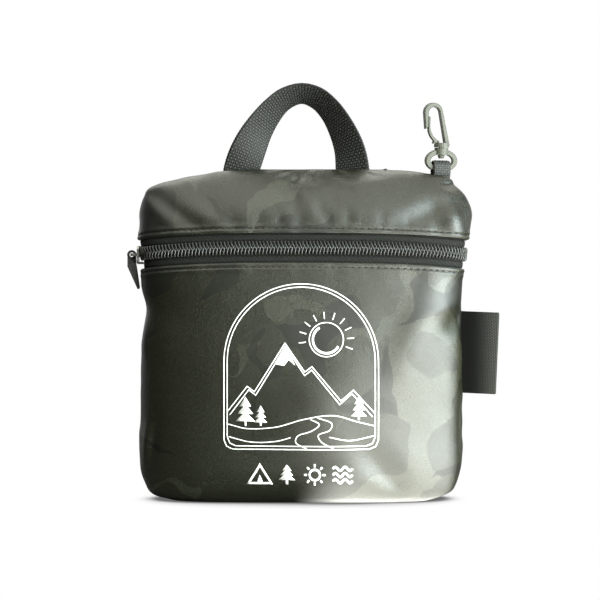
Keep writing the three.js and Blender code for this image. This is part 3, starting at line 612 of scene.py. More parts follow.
def zip_coil(name, side):
    """One side of the coil: a flattened spiral of thread whose heads lock into the other side's."""
    start = zip_path.along[0] + COIL_FROM_LEFT
    end = zip_path.along[-1] - COIL_FROM_RIGHT
    turns = int((end - start) / COIL_PITCH)
    t = np.arange(turns * STEPS_PER_TURN + 1) / STEPS_PER_TURN
    angle = 2 * math.pi * t
    c = np.cos(angle)
    n = np.sin(angle)
    back = COIL_HALF_WIDTH - COIL_THREAD
    reach = np.sign(c) * np.abs(c)**COIL_SQUARE_ACROSS
    v = (COIL_HEAD + back) / 2 + (back - COIL_HEAD) / 2 * reach
    w = COIL_MIDDLE_OUT + COIL_RISE * np.sign(n) * np.abs(n)**COIL_SQUARE_UP
    share = (1 - reach) / 2
    lean = COIL_LEAN * (share - 0.5) * np.where(n > 0, 1, -1)
    offset = 0.25 if side > 0 else 0.75
    s = start + (t + offset) * COIL_PITCH + lean
    points = zip_path.place(s, side * v, w)
    hint = zip_path.read(zip_path.tangent, s)
    rings = tube_rings(points, hint, COIL_THREAD, THREAD_SIDES)
    piece = add_object(name, rings_mesh(name, [rings]), coil_nylon)
    return piece


# The tape: its inner edge's distance from the zip's middle, how far it is tucked under the cloth, and
# how far its open strip swells, evenly and in waves.
TAPE_INNER_EDGE = 0.9
TAPE_TUCK = 5
TAPE_SWELL = 0.45
TAPE_WAVES = 0.12


def zip_tape(name, side):
    """The woven tape on one side of the coil, tucked under its hem."""
    across = side * np.linspace(TAPE_INNER_EDGE, ZIP_SLOT / 2 + TAPE_TUCK, 40)
    s = np.linspace(zip_path.along[0] + 0.5, zip_path.along[-1] - 0.5, 460)
    grid_s, grid_v = np.meshgrid(s, across if side > 0 else across[::-1])
    free = ramp(np.abs(grid_v), COIL_HALF_WIDTH, COIL_HALF_WIDTH + 1.2) * (
        1 - ramp(np.abs(grid_v), ZIP_SLOT / 2 - 1.4, ZIP_SLOT / 2 - 0.2))
    w = -TAPE_DEPTH + TAPE_SWELL * free + TAPE_WAVES * free * soft_noise(grid_s / 9, grid_v / 6, 31)
    outer = zip_path.place(grid_s, grid_v, w)
    normal = zip_path.read(zip_path.out, grid_s)
    mesh = wall_mesh(name, outer, normal, TAPE_THICKNESS, -1, grid_s)
    piece = add_object(name, mesh, tape_weave)
    return piece


# A stitch: its length, its thread's radius, how far it strays along and across, and its heights over
# the cloth from end to end. The rays that find the cloth start PROBE_FROM over it and reach PROBE_REACH
# metres.
STITCH_LENGTH = 2.3
STITCH_THREAD = 0.24
STITCH_STRAY = 0.12
STITCH_SKEW = 0.14
STITCH_ARCH = np.array([-0.45, 0.02, 0.16, 0.2, 0.16, 0.02, -0.45])
PROBE_FROM = 6.0
PROBE_REACH = 0.02


def stitch_row(name, side, surface):
    """Thread stitches along a hem, each sunk in the cloth at its ends."""
    count = len(STITCH_ARCH)
    v = side * (ZIP_SLOT / 2 + STITCH_FROM_EDGE)
    starts = np.arange(zip_path.along[0] + 3, zip_path.along[-1] - 5, STITCH_PITCH)
    rng = np.random.default_rng(40 + side)
    sets = []
    for start in starts:
        s = start + np.linspace(0, STITCH_LENGTH, count) + rng.uniform(-STITCH_STRAY, STITCH_STRAY)
        skew = rng.uniform(-STITCH_SKEW, STITCH_SKEW) * np.linspace(-1, 1, count)
        above = zip_path.place(s, v + skew, np.full(count, PROBE_FROM))
        out = zip_path.read(zip_path.out, s)
        hits = []
        for p, n in zip(above, out):
            hit = surface.ray_cast(Vector(p * MM), Vector(-n), PROBE_REACH)
            if hit[0] is None:
                break
            hits.append(np.array(hit[0]) / MM)
        if len(hits) < count:
            continue
        points = np.array(hits) + out * STITCH_ARCH[:, None]
        sets.append(tube_rings(points, out, STITCH_THREAD, THREAD_SIDES))
    return add_object(name, rings_mesh(name, sets), thread)


# Straps


def length_along(line):
    """Distance along a line to each of its points."""
    return np.concatenate([[0], np.cumsum(np.linalg.norm(np.diff(line, axis=0), axis=1))])


def evenly(line, count):
    """A line's points, spaced evenly along it."""
    along = length_along(line)
    even = np.linspace(0, along[-1], count)
    return np.stack([np.interp(even, along, line[:, k]) for k in range(line.shape[1])], axis=1)


def unit_rows(rows):
    """Each row at a length of one."""
    return rows / np.linalg.norm(rows, axis=1, keepdims=True)


# How high the yarns that run under others stand, how far in a strap's edge is rounded, its thickness there
# as a share, how far the weft swells it and how far in that reaches, and the edge's tone in the painted
# shade.
UNDER_YARN = 0.62
EDGE_ROUNDING = 0.9
EDGE_THICKNESS = 0.35
SCALLOP = 0.22
SCALLOP_REACH = 1.5
EDGE_SHADE = 0.3


def woven_strap(name, centre, across, out, width, thickness, pitch_along, pitch_across, relief,
                material, fineness=0.3):
    """Webbing along a line, with its yarns as raised cells and its edges scalloped by the weft. The relief
    is kept as a colour, so that the material can paint shade into the gaps between the yarns."""
    along = length_along(centre)
    count = int(along[-1] / fineness)
    u = np.linspace(0, along[-1], count)

    def at(table):
        return np.stack([np.interp(u, along, table[:, k]) for k in range(3)], axis=-1)

    centre = at(centre)
    across = at(across)
    out = at(out)
    wide = int(width / fineness)
    v = np.linspace(-0.5, 0.5, wide + 1) * width
    grid_u, grid_v = np.meshgrid(u, v, indexing="ij")

    def cells(flip):
        weft = np.cos(math.pi * (grid_u / pitch_along + 0.5 * flip))
        warp = np.cos(math.pi * (grid_v / pitch_across + 0.5 * flip))
        crown = np.abs(weft * warp)**0.8
        return crown * np.where(weft * warp > 0, 1.0, UNDER_YARN)

    edge = 1 - ramp(np.abs(grid_v), width / 2 - EDGE_ROUNDING, width / 2)
    face_front = cells(0)
    face_back = cells(1)
    half = thickness / 2 - relief
    scallop = SCALLOP * np.abs(np.cos(math.pi * u / pitch_along))
    near_edge = ramp(np.abs(grid_v), width / 2 - SCALLOP_REACH, width / 2)
    middle = (centre[:, None]
              + across[:, None] * (grid_v * (1 + scallop[:, None] * 2 / width * near_edge))[..., None])
    core = half * (EDGE_THICKNESS + (1 - EDGE_THICKNESS) * edge**0.5)
    front = middle + out[:, None] * (core + relief * face_front * edge)[..., None]
    back = middle + out[:, None] * -(core + relief * face_back * edge)[..., None]
    mesh = rings_mesh(name, [np.concatenate([front, back[:, ::-1]], axis=1)])
    # The relief as a colour, which the yarn material turns into painted shade in the gaps; the edge gets a
    # set tone.
    border = EDGE_SHADE * (1 - edge)
    height = np.concatenate([face_front * edge + border, (face_back * edge + border)[:, ::-1]],
                            axis=1).ravel()
    layer = mesh.color_attributes.new("relief", "FLOAT_COLOR", "POINT")
    colors = np.stack([height, height, height, np.ones_like(height)], axis=1)
    layer.data.foreach_set("color", colors.astype(np.float32).ravel())
    return add_object(name, mesh, material)


# Route of the handle's middle line: across and up as shares of half its span and of its rise, and the
# turn of its face upwards in degrees.
HANDLE_ROUTE = np.array([
    (-1.06, -0.22, 0), (-1, 0.03, 0), (-0.875, 0.28, 20), (-0.7, 0.53, 40), (-0.45, 0.78, 54),
    (-0.22, 0.93, 61), (0.08, 1, 65), (0.36, 0.94, 61), (0.6, 0.78, 56), (0.81, 0.53, 47),
    (0.945, 0.28, 36), (1, 0.03, 24), (1.01, -0.22, 18),
])
HANDLE_SPAN = 64
HANDLE_RISE = 44.7
HANDLE_SHIFT = -2.3
HANDLE_WIDTH = 20.5
HANDLE_THICKNESS = 2.0


def curve_point(points, share):
    """A point on the rounded line through a route's points."""
    last = len(points) - 1
    place = share * last
    i = min(int(place), last - 1)
    w = place - i
    p1, p2 = points[i], points[i + 1]
    p0 = points[i - 1] if i > 0 else 2 * p1 - p2
    p3 = points[i + 2] if i + 2 <= last else 2 * p2 - p1
    d0, d1, d2 = (math.sqrt(np.linalg.norm(b - a)) for a, b in ((p0, p1), (p1, p2), (p2, p3)))
    m1 = ((p1 - p0) / d0 - (p2 - p0) / (d0 + d1) + (p2 - p1) / d1) * d1
    m2 = ((p2 - p1) / d1 - (p3 - p1) / (d1 + d2) + (p3 - p2) / d2) * d1
    return ((2 * w**3 - 3 * w**2 + 1) * p1 + (w**3 - 2 * w**2 + w) * m1
            + (3 * w**2 - 2 * w**3) * p2 + (w**3 - w**2) * m2)


def carry_handle():
    """The webbing handle, its legs sewn into the top seam."""
    points = np.stack([HANDLE_SHIFT + HANDLE_ROUTE[:, 0] * HANDLE_SPAN / 2,
                       np.full(len(HANDLE_ROUTE), SEAM_SETBACK),
                       POUCH_HEIGHT + HANDLE_ROUTE[:, 1] * HANDLE_RISE], axis=1)
    shares = np.linspace(0.0, 1.0, 300)
    centre = np.array([curve_point(points, s) for s in shares])
    along = unit_rows(np.gradient(centre, axis=0))
    rows = np.linspace(0, 1, len(HANDLE_ROUTE))
    turn = np.radians(smooth_table(rows, HANDLE_ROUTE[:, 2], shares))
    across = np.stack([along[:, 2] * np.cos(turn), np.sin(turn), -along[:, 0] * np.cos(turn)], axis=1)
    out = unit_rows(np.cross(across, along))
    piece = woven_strap("handle_strap", centre, across, out, HANDLE_WIDTH, HANDLE_THICKNESS,
                        pitch_along=1.5, pitch_across=1.28, relief=0.3, material=webbing_weave)
    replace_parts(piece, "handle_webbing")
    return piece


# The cloth loop, in a frame whose origin is the middle of the swivel eye's ring. Its lower end is in the
# seam, and its two legs lie together for LOOP_JOINED above that and then part round the ring's bar.
LOOP_FRAME = Matrix.Translation((80.9, 5.0, 194.74)) @ Matrix.Rotation(math.radians(12), 4, "Z")
LOOP_WIDTH = 9.8
LOOP_THICKNESS = 1.4
LOOP_LOWER_END = -19.8
LOOP_JOINED = 7.5
LOOP_SLACK = 2.8
LOOP_SOFTENING = 6
EYE_CLEARANCE = 0.6
EYE_HEIGHT = 13.4
EYE_BAR = 2.9
EYE_DEPTH = 3.6
LEG_APART = 0.62


def arc_points(cx, cy, radius, first, last, count):
    """Points on an arc, between two angles in degrees."""
    angles = np.radians(np.linspace(first, last, count))
    return [(cx + radius * math.cos(a), cy + radius * math.sin(a)) for a in angles]


def hook_loop():
    """The ribbon through the swivel eye: two legs that part above the seam and go round the ring's bar."""
    half = EYE_DEPTH / 2 + EYE_CLEARANCE + LOOP_THICKNESS / 2
    top = EYE_BAR - EYE_HEIGHT / 2 + LOOP_SLACK + LOOP_THICKNESS
    joined = LOOP_LOWER_END + LOOP_JOINED
    opened = -EYE_HEIGHT / 2 - EYE_CLEARANCE
    leg = LOOP_THICKNESS * LEG_APART
    line = [(leg, LOOP_LOWER_END), (leg, joined), (half, opened)]
    line += arc_points(0, top - half - LOOP_THICKNESS / 2, half, 0, 180, 24)
    line += [(-half, opened), (-leg, joined), (-leg, LOOP_LOWER_END)]
    line = evenly(np.array(line), 240)
    for _ in range(LOOP_SOFTENING):
        line[1:-1] = (line[:-2] + 2 * line[1:-1] + line[2:]) / 4
    centre = np.array([LOOP_FRAME @ Vector((0, y, z)) for y, z in line])
    turn = LOOP_FRAME.to_3x3()
    across = np.tile(np.array(turn @ Vector((1, 0, 0))), (len(centre), 1))
    along = np.gradient(centre, axis=0)
    out = unit_rows(np.cross(along, across))
    piece = woven_strap("hook_loop_ribbon", centre, across, out, LOOP_WIDTH, LOOP_THICKNESS,
                        pitch_along=1.3, pitch_across=1.1, relief=0.3, material=ribbon_weave,
                        fineness=0.22)
    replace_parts(piece, "hook_loop")
    return piece


TAB_WIDTH = 47
TAB_LAYER = 1.3
TAB_SLOT = 0.5
TAB_REACH = 22.6
TAB_HEIGHT = 84
TAB_LEAN = 2.5
TAB_TUCK = 5


def side_tab():
    """The folded ribbon in the right-hand seam."""
    _, right, _, back, square = section(TAB_HEIGHT)
    seam = right * (1 - (SEAM_SETBACK / back)**square)**(1 / square)
    half = TAB_LAYER + TAB_SLOT / 2
    middle = (TAB_LAYER + TAB_SLOT) / 2
    tip = TAB_REACH - half
    line = [(-TAB_TUCK, -middle), (tip, -middle)] + arc_points(tip, 0, middle, -90, 90, 16)[1:-1]
    line += [(tip, middle), (-TAB_TUCK, middle)]
    line = evenly(np.array(line), 260)
    place = (Matrix.Translation((seam, SEAM_SETBACK, TAB_HEIGHT))
             @ Matrix.Rotation(math.radians(TAB_LEAN), 4, "Y"))
    centre = np.array([place @ Vector((x, y, 0)) for x, y in line])
    across = np.tile(np.array(place.to_3x3() @ Vector((0, 0, 1))), (len(centre), 1))
    along = np.gradient(centre, axis=0)
    out = unit_rows(np.cross(across, along))
    piece = woven_strap("side_tab_ribbon", centre, across, out, TAB_WIDTH, TAB_LAYER,
                        pitch_along=1.0, pitch_across=0.8, relief=0.1, material=tab_weave)
    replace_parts(piece, "side_tab")
    return piece


# The print


# The ink: how far it stands over the cloth, how thick it is, its thin line's width and the longest step
# of its lines and its solid shapes.
INK_PROUD = 0.14
INK_THICKNESS = 0.22
THIN_LINE = 0.55
INK_STEP = 1.2
INK_FILL_STEP = 2.5
SHARPEST_MITRE = 2.2
CURVE_PARTS = 8


def on_front(surface, x, z):
    """The point just over the front cloth, seen straight from the front."""
    place, normal, _, _ = surface.ray_cast(Vector((x * MM, -0.08, z * MM)), Vector((0, 1, 0)), 0.2)
    return place + normal * (INK_PROUD * MM if normal.y < 0 else -INK_PROUD * MM)


def spaced(line, closed):
    """A line with more points between its own, so that it follows the cloth."""
    line = np.array(line, float)
    if closed:
        line = np.concatenate([line, line[:1]])
    steps = length_along(line)
    keep = [line[0]]
    for i in range(len(line) - 1):
        parts = max(1, int(math.ceil((steps[i + 1] - steps[i]) / INK_STEP)))
        for k in range(1, parts + 1):
            keep.append(line[i] + (line[i + 1] - line[i]) * k / parts)
    return np.array(keep)


def ink_line(bm, surface, line, width, closed):
    """A printed line on the front cloth."""
    points = spaced(line, closed)
    if closed:
        points = points[:-1]
        before = np.roll(points, 1, axis=0)
        after = np.roll(points, -1, axis=0)
    else:
        before = np.concatenate([points[:1], points[:-1]])
        after = np.concatenate([points[1:], points[-1:]])
    first = points - before
    second = after - points
    for d in (first, second):
        length = np.linalg.norm(d, axis=1, keepdims=True)
        d /= np.maximum(length, TINY)
    if not closed:
        first[0] = second[0]
        second[-1] = first[-1]
    tangent = first + second
    tangent /= np.maximum(np.linalg.norm(tangent, axis=1, keepdims=True), TINY)
    normal = np.stack([-tangent[:, 1], tangent[:, 0]], axis=1)
    own = np.stack([-first[:, 1], first[:, 0]], axis=1)
    mitre = np.clip(1 / np.maximum(np.abs((normal * own).sum(axis=1)), 0.3), 1, SHARPEST_MITRE)
    rows = []
    for p, n, m in zip(points, normal, mitre):
        pair = [on_front(surface, *(p + n * s * m * width / 2)) for s in (-1, 1)]
        rows.append([bm.verts.new(q) for q in pair])
    pairs = list(zip(rows[:-1], rows[1:])) + ([(rows[-1], rows[0])] if closed else [])
    for (a, b), (c, d) in pairs:
        bm.faces.new((a, c, d, b))


def ink_fill(bm, surface, outline):
    """A printed solid shape on the front cloth."""
    flat = bmesh.new()
    verts = [flat.verts.new((x, 0, z)) for x, z in outline]
    flat.faces.new(verts)
    bmesh.ops.triangulate(flat, faces=flat.faces[:])
    long = [e for e in flat.edges if e.calc_length() > INK_FILL_STEP]
    if long:
        bmesh.ops.subdivide_edges(flat, edges=long, cuts=2, use_grid_fill=False)
        bmesh.ops.triangulate(flat, faces=flat.faces[:])
    flat.verts.ensure_lookup_table()
    flat.verts.index_update()
    made = [bm.verts.new(on_front(surface, v.co.x, v.co.z)) for v in flat.verts]
    for face in flat.faces:
        bm.faces.new([made[v.index] for v in face.verts])
    flat.free()


def smooth_line(points):
    """A rounded line through points."""
    points = np.array(points, float)
    count = CURVE_PARTS * (len(points) - 1)
    return [tuple(curve_point(points, i / count)) for i in range(count + 1)]


def circle(cx, cz, radius, count=40, first=0, last=360):
    """Points round a circle, or on an arc of it, between two angles in degrees."""
    closed = last - first >= 360
    angles = np.radians(np.linspace(first, last, count, endpoint=not closed))
    return [(cx + radius * math.cos(a), cz + radius * math.sin(a)) for a in angles]


def print_on_front(surface):
    """A generic line drawing of hills, a sun and trees, over a row of small signs. Places are given
    across from the pouch's middle and up from its foot."""
    bm = bmesh.new()

    def line(points, width=THIN_LINE, closed=False):
        ink_line(bm, surface, points, width, closed)

    def ray(x, z, angle, near, far, width=THIN_LINE):
        a = math.radians(angle)
        line([(x + r * math.cos(a), z + r * math.sin(a)) for r in (near, far)], width)

    def arch(inset):
        r = 43 - inset
        foot = 31 + inset
        sides = [(-r, foot + 5), (-r, 80)] + circle(0, 80, r, 50, 180, 0)[1:-1] + [(r, 80), (r, foot + 5)]
        low = [(r - 1.5, foot + 1.5), (r - 5, foot), (-r + 5, foot), (-r + 1.5, foot + 1.5)]
        return sides + low

    line(arch(0), closed=True)
    line(arch(1.8), closed=True)
    sun = (14, 92)
    line(circle(*sun, 9.5), closed=True)
    line(circle(*sun, 7.6, 30, 120, 330), 1.3)
    for angle in range(-20, 210, 23):
        ray(*sun, angle, 11.5, 15.5)
    peaks = [(-41, 52), (-30, 66), (-26, 63), (-9, 90), (2, 74), (6, 77), (22, 58), (29, 64), (41, 51)]
    line(peaks)
    line([(x * 0.97, z - 1.9) for x, z in peaks])
    ink_fill(bm, surface, [(-9, 88.5), (-15.2, 78.5), (-12, 80.5), (-9.5, 77.5), (-7, 80.6), (-3.2, 77.6)])
    hill = smooth_line([(-41, 45), (-30, 42.5), (-14, 43.5), (2, 48), (18, 50), (31, 46.5), (41, 44)])
    line(hill)
    line(smooth_line([(5, 48), (10, 45), (6, 41.5), (-2, 38.5), (-3, 35), (3, 31.5)]))
    line(smooth_line([(9, 48.8), (17, 45.5), (16, 42), (9.5, 39), (11, 35.5), (18, 31.5)]))
    line(smooth_line([(-40.5, 38), (-28, 35), (-14, 35.5), (-6, 37.6)]))
    line(smooth_line([(15.5, 38), (27, 36), (40.5, 38.5)]))
    for x, z, tall in ((-31, 44, 16), (-22.5, 44.2, 11), (32, 47.5, 13)):
        for k in range(3):
            wide = tall * (0.34 - 0.07 * k)
            low = z + tall * (0.16 + 0.26 * k)
            high = low + tall * 0.34
            ink_fill(bm, surface, [(x - wide, low), (x, high), (x + wide, low)])
        line([(x, z), (x, z + tall * 0.16)], 1.1)

    row = 17
    tent = -23
    tree = -8
    small_sun = 7.5
    waves = 17.5
    line([(tent - 6.3, row - 5), (tent, row + 5.2), (tent + 6.3, row - 5)], 1.2, closed=True)
    ink_fill(bm, surface, [(tent - 2, row - 5), (tent, row - 0.2), (tent + 2, row - 5)])
    for k in range(3):
        low = row - 3 + 2.6 * k
        ink_fill(bm, surface, [(tree - 4.6 + k, low), (tree, row + 1.2 + 2.2 * k), (tree + 4.6 - k, low)])
    line([(tree, row - 5.4), (tree, row - 3)], 1.5)
    line(circle(small_sun, row, 2.9), 1.2, closed=True)
    for k in range(8):
        ray(small_sun, row, 45 * k, 4.3, 6, 1.1)
    for k in range(3):
        low = row - 3.4 + 3.4 * k
        line([(waves + t, low + 1.1 * math.sin(t * 1.15)) for t in np.linspace(0, 11, 16)], 1.2)
    bmesh.ops.recalc_face_normals(bm, faces=bm.faces)
    for face in bm.faces:
        if face.normal.y > 0:
            face.normal_flip()
    mesh = bpy.data.meshes.new("printed_drawing")
    bm.to_mesh(mesh)
    bm.free()
    piece = add_object("printed_drawing", mesh, ink)
    wall = piece.modifiers.new("ink", "SOLIDIFY")
    wall.thickness = INK_THICKNESS * MM
    wall.offset = -1
    return piece


# Finishes


CLOTH_BASE = (0.0060, 0.0066, 0.0024)
CLOTH_LIGHT = (0.0135, 0.0147, 0.0075)
CLOTH_DARK = (0.0034, 0.0037, 0.0018)

# How long the patches of the camouflage are cut, the noise's level at their edge and half the width of
# that edge.
PATCH_REACH = 1.6
PATCH_EDGE = 0.47
PATCH_SOFTNESS = 0.006


def new_material(name, roughness, metallic=0.0, color=(0.1, 0.1, 0.1)):
    """A material with its node tree and its shader."""
    material = bpy.data.materials.new(name)
    material.use_nodes = True
    shader = material.node_tree.nodes["Principled BSDF"]
    shader.inputs["Base Color"].default_value = (*color, 1)
    shader.inputs["Roughness"].default_value = roughness
    shader.inputs["Metallic"].default_value = metallic
    return material, material.node_tree, shader


def add_node(tree, kind, label=None, **values):
    """A node with a label and its settings."""
    node = tree.nodes.new(kind)
    if label:
        node.label = label
    for key, value in values.items():
        setattr(node, key, value)
    return node


def math_node(tree, operation, first, second=None, third=None, clamp=False):
    """The result of a sum on numbers or sockets."""
    node = add_node(tree, "ShaderNodeMath", operation=operation, use_clamp=clamp)
    for socket, value in zip(node.inputs, (first, second, third)):
        if value is None:
            continue
        if isinstance(value, (int, float)):
            socket.default_value = value
        else:
            tree.links.new(value, socket)
    return node.outputs[0]


def blend_colors(tree, share, first, second):
    """A colour between two colours or sockets."""
    node = add_node(tree, "ShaderNodeMix", data_type="RGBA")
    for name, value in (("Factor", share), ("A", first), ("B", second)):
        socket = next(s for s in node.inputs if s.name == name and s.enabled)
        if isinstance(value, tuple):
            socket.default_value = (*value, 1)
        elif isinstance(value, (int, float)):
            socket.default_value = value
        else:
            tree.links.new(value, socket)
    return next(s for s in node.outputs if s.enabled)


def map_range(tree, value, low, high, to_low=0.0, to_high=1.0):
    """A value moved smoothly from one range to another."""
    node = add_node(tree, "ShaderNodeMapRange", interpolation_type="SMOOTHSTEP")
    tree.links.new(value, node.inputs["Value"])
    node.inputs["From Min"].default_value = low
    node.inputs["From Max"].default_value = high
    node.inputs["To Min"].default_value = to_low
    node.inputs["To Max"].default_value = to_high
    return node.outputs["Result"]


def group_tree(name, inputs, outputs):
    """A shader node group with named sockets: (name, kind, value) for inputs, (name, kind) for outputs."""
    tree = bpy.data.node_groups.new(name, "ShaderNodeTree")
    for label, kind, value in inputs:
        socket = tree.interface.new_socket(label, in_out="INPUT", socket_type=kind)
        socket.default_value = value
    for label, kind in outputs:
        tree.interface.new_socket(label, in_out="OUTPUT", socket_type=kind)
    return tree, tree.nodes.new("NodeGroupInput"), tree.nodes.new("NodeGroupOutput")


def use_group(tree, group, **values):
    """A node group placed in a material with its own values."""
    node = add_node(tree, "ShaderNodeGroup", label=group.name)
    node.node_tree = group
    for name, value in values.items():
        socket = node.inputs[name.replace("_", " ").capitalize()]
        if isinstance(value, tuple):
            socket.default_value = (*value, 1)
        elif isinstance(value, (int, float)):
            socket.default_value = value
        else:
            tree.links.new(value, socket)
    return node


def fine_grain_group():
    """Fine unevenness of a surface: a height for bump and a value from 0 to 1."""
    tree, given, result = group_tree(
        "fine_grain", [("Scale", "NodeSocketFloat", 1000.0), ("Detail", "NodeSocketFloat", 3.0)],
        [("Height", "NodeSocketFloat"), ("Value", "NodeSocketFloat")])
    place = tree.nodes.new("ShaderNodeTexCoord")
    noise = tree.nodes.new("ShaderNodeTexNoise")
    tree.links.new(place.outputs["Object"], noise.inputs["Vector"])
    tree.links.new(given.outputs["Scale"], noise.inputs["Scale"])
    tree.links.new(given.outputs["Detail"], noise.inputs["Detail"])
    tree.links.new(noise.outputs["Fac"], result.inputs["Height"])
    tree.links.new(map_range(tree, noise.outputs["Fac"], 0.3, 0.7), result.inputs["Value"])
    return tree


def yarn_group():
    """Colour of woven yarn, with painted shade that darkens the gaps between the yarns, lighter crowns and
    uneven dye.
    """
    tree, given, result = group_tree(
        "yarn_painted_shade",
        [("Gap", "NodeSocketColor", (0.01, 0.01, 0.01, 1)),
         ("Crown", "NodeSocketColor", (0.1, 0.1, 0.1, 1)),
         ("Unevenness", "NodeSocketFloat", 0.3)],
        [("Color", "NodeSocketColor"), ("Height", "NodeSocketFloat")])
    relief = tree.nodes.new("ShaderNodeAttribute")
    relief.attribute_name = "relief"
    place = tree.nodes.new("ShaderNodeTexCoord")
    noise = tree.nodes.new("ShaderNodeTexNoise")
    noise.inputs["Scale"].default_value = 900
    noise.inputs["Detail"].default_value = 3
    tree.links.new(place.outputs["Object"], noise.inputs["Vector"])
    # Painted shade: the lower the relief, the nearer the colour is to the dark Gap colour.
    share = map_range(tree, relief.outputs["Fac"], 0.12, 0.8)
    tint = math_node(tree, "MULTIPLY", noise.outputs["Fac"], given.outputs["Unevenness"])
    shade = math_node(tree, "SUBTRACT", share, tint, clamp=True)
    tree.links.new(blend_colors(tree, shade, given.outputs["Gap"], given.outputs["Crown"]),
                   result.inputs["Color"])
    tree.links.new(noise.outputs["Fac"], result.inputs["Height"])
    return tree


def add_bump(tree, shader, height, distance, strength):
    """Fine relief on a shader. distance is in metres."""
    bump = tree.nodes.new("ShaderNodeBump")
    bump.inputs["Distance"].default_value = distance
    bump.inputs["Strength"].default_value = strength
    tree.links.new(height, bump.inputs["Height"])
    tree.links.new(bump.outputs["Normal"], shader.inputs["Normal"])


def wandering_noise(tree, place, label, seed, scale, detail):
    """One value of a noise that a seed picks."""
    noise = add_node(tree, "ShaderNodeTexNoise", label=label, noise_dimensions="4D")
    noise.inputs["W"].default_value = seed
    noise.inputs["Scale"].default_value = scale
    noise.inputs["Detail"].default_value = detail
    tree.links.new(place, noise.inputs["Vector"])
    return noise.outputs["Fac"]


def camouflage_mask(tree, place, seed, scale):
    """Long patches with round ends: a band along a contour of one noise, cut short by another."""
    winding = wandering_noise(tree, place, "winding", seed, scale, 0.4)
    amount = wandering_noise(tree, place, "amount", seed + 9, scale * 0.8, 0.8)
    away = math_node(tree, "ABSOLUTE", math_node(tree, "SUBTRACT", winding, 0.5))
    field = math_node(tree, "MULTIPLY_ADD", away, -PATCH_REACH, amount)
    return map_range(tree, field, PATCH_EDGE - PATCH_SOFTNESS, PATCH_EDGE + PATCH_SOFTNESS)


def cloth_material():
    """Coated cloth with a print of soft-edged camouflage in three dark tones."""
    material, tree, shader = new_material("coated_camouflage_cloth", 0.38)
    place = add_node(tree, "ShaderNodeTexCoord")
    bend = add_node(tree, "ShaderNodeTexNoise", label="bend of the patches")
    bend.inputs["Scale"].default_value = 60
    bend.inputs["Detail"].default_value = 1.5
    tree.links.new(place.outputs["Object"], bend.inputs["Vector"])
    move = add_node(tree, "ShaderNodeVectorMath", operation="MULTIPLY_ADD")
    tree.links.new(bend.outputs["Color"], move.inputs[0])
    move.inputs[1].default_value = (0.014, 0.014, 0.014)
    tree.links.new(place.outputs["Object"], move.inputs[2])
    light = camouflage_mask(tree, move.outputs[0], seed=1.3, scale=21)
    dark = camouflage_mask(tree, move.outputs[0], seed=5.2, scale=24)
    tone = blend_colors(tree, light, CLOTH_BASE, CLOTH_LIGHT)
    tone = blend_colors(tree, dark, tone, CLOTH_DARK)
    grain = use_group(tree, fine_grain, scale=2600.0, detail=2.0)
    tree.links.new(tone, shader.inputs["Base Color"])
    rough = math_node(tree, "MULTIPLY_ADD", light, -0.02, 0.26)
    rough = math_node(tree, "MULTIPLY_ADD", dark, 0.03, rough)
    rough = math_node(tree, "MULTIPLY_ADD", grain.outputs["Value"], 0.06, rough)
    tree.links.new(rough, shader.inputs["Roughness"])
    gloss = math_node(tree, "MULTIPLY_ADD", light, 0.07, 0.56)
    gloss = math_node(tree, "MULTIPLY_ADD", dark, -0.09, gloss)
    tree.links.new(gloss, shader.inputs["Specular IOR Level"])
    shader.inputs["Specular Tint"].default_value = (0.98, 1.0, 0.97, 1)
    shader.inputs["Coat Weight"].default_value = 0.1
    shader.inputs["Coat Roughness"].default_value = 0.3
    add_bump(tree, shader, grain.outputs["Height"], 0.0002, 1.0)
    return material


def yarn_material(name, gap, crown, roughness, sheen, gloss):
    """Woven webbing, coloured by its own relief, with painted shade in the gaps between its yarns."""
    material, tree, shader = new_material(name, roughness)
    yarn = use_group(tree, yarn_painted_shade, gap=gap, crown=crown)
    tree.links.new(yarn.outputs["Color"], shader.inputs["Base Color"])
    shader.inputs["Sheen Weight"].default_value = sheen
    shader.inputs["Specular IOR Level"].default_value = gloss
    shader.inputs["Sheen Roughness"].default_value = 0.5
    add_bump(tree, shader, yarn.outputs["Height"], 0.0001, 0.5)
    return material


def tab_material():
    """Black ribbon with painted shade, darker than the loop's ribbon, and painted light that makes it paler
    towards its folded tip.
    """
    material, tree, shader = new_material("tab_ribbon_yarn", 0.8)
    place = add_node(tree, "ShaderNodeTexCoord")
    parts = add_node(tree, "ShaderNodeSeparateXYZ")
    tree.links.new(place.outputs["Object"], parts.inputs[0])
    # Painted shade at the seam end and painted light at the tip, both as yarn colours blended along X.
    painted_shade_end = use_group(tree, yarn_painted_shade, gap=(0.0006, 0.0006, 0.0005), crown=(0.0022, 0.0026, 0.0018))
    painted_light_tip = use_group(tree, yarn_painted_shade, gap=(0.008, 0.0085, 0.007), crown=(0.06, 0.064, 0.056))
    share = map_range(tree, parts.outputs["X"], 0.096, 0.116)
    share = math_node(tree, "POWER", share, 1.5)
    tree.links.new(blend_colors(tree, share, painted_shade_end.outputs["Color"], painted_light_tip.outputs["Color"]),
                   shader.inputs["Base Color"])
    shader.inputs["Specular IOR Level"].default_value = 0.05
    add_bump(tree, shader, painted_shade_end.outputs["Height"], 0.0001, 0.5)
    return material


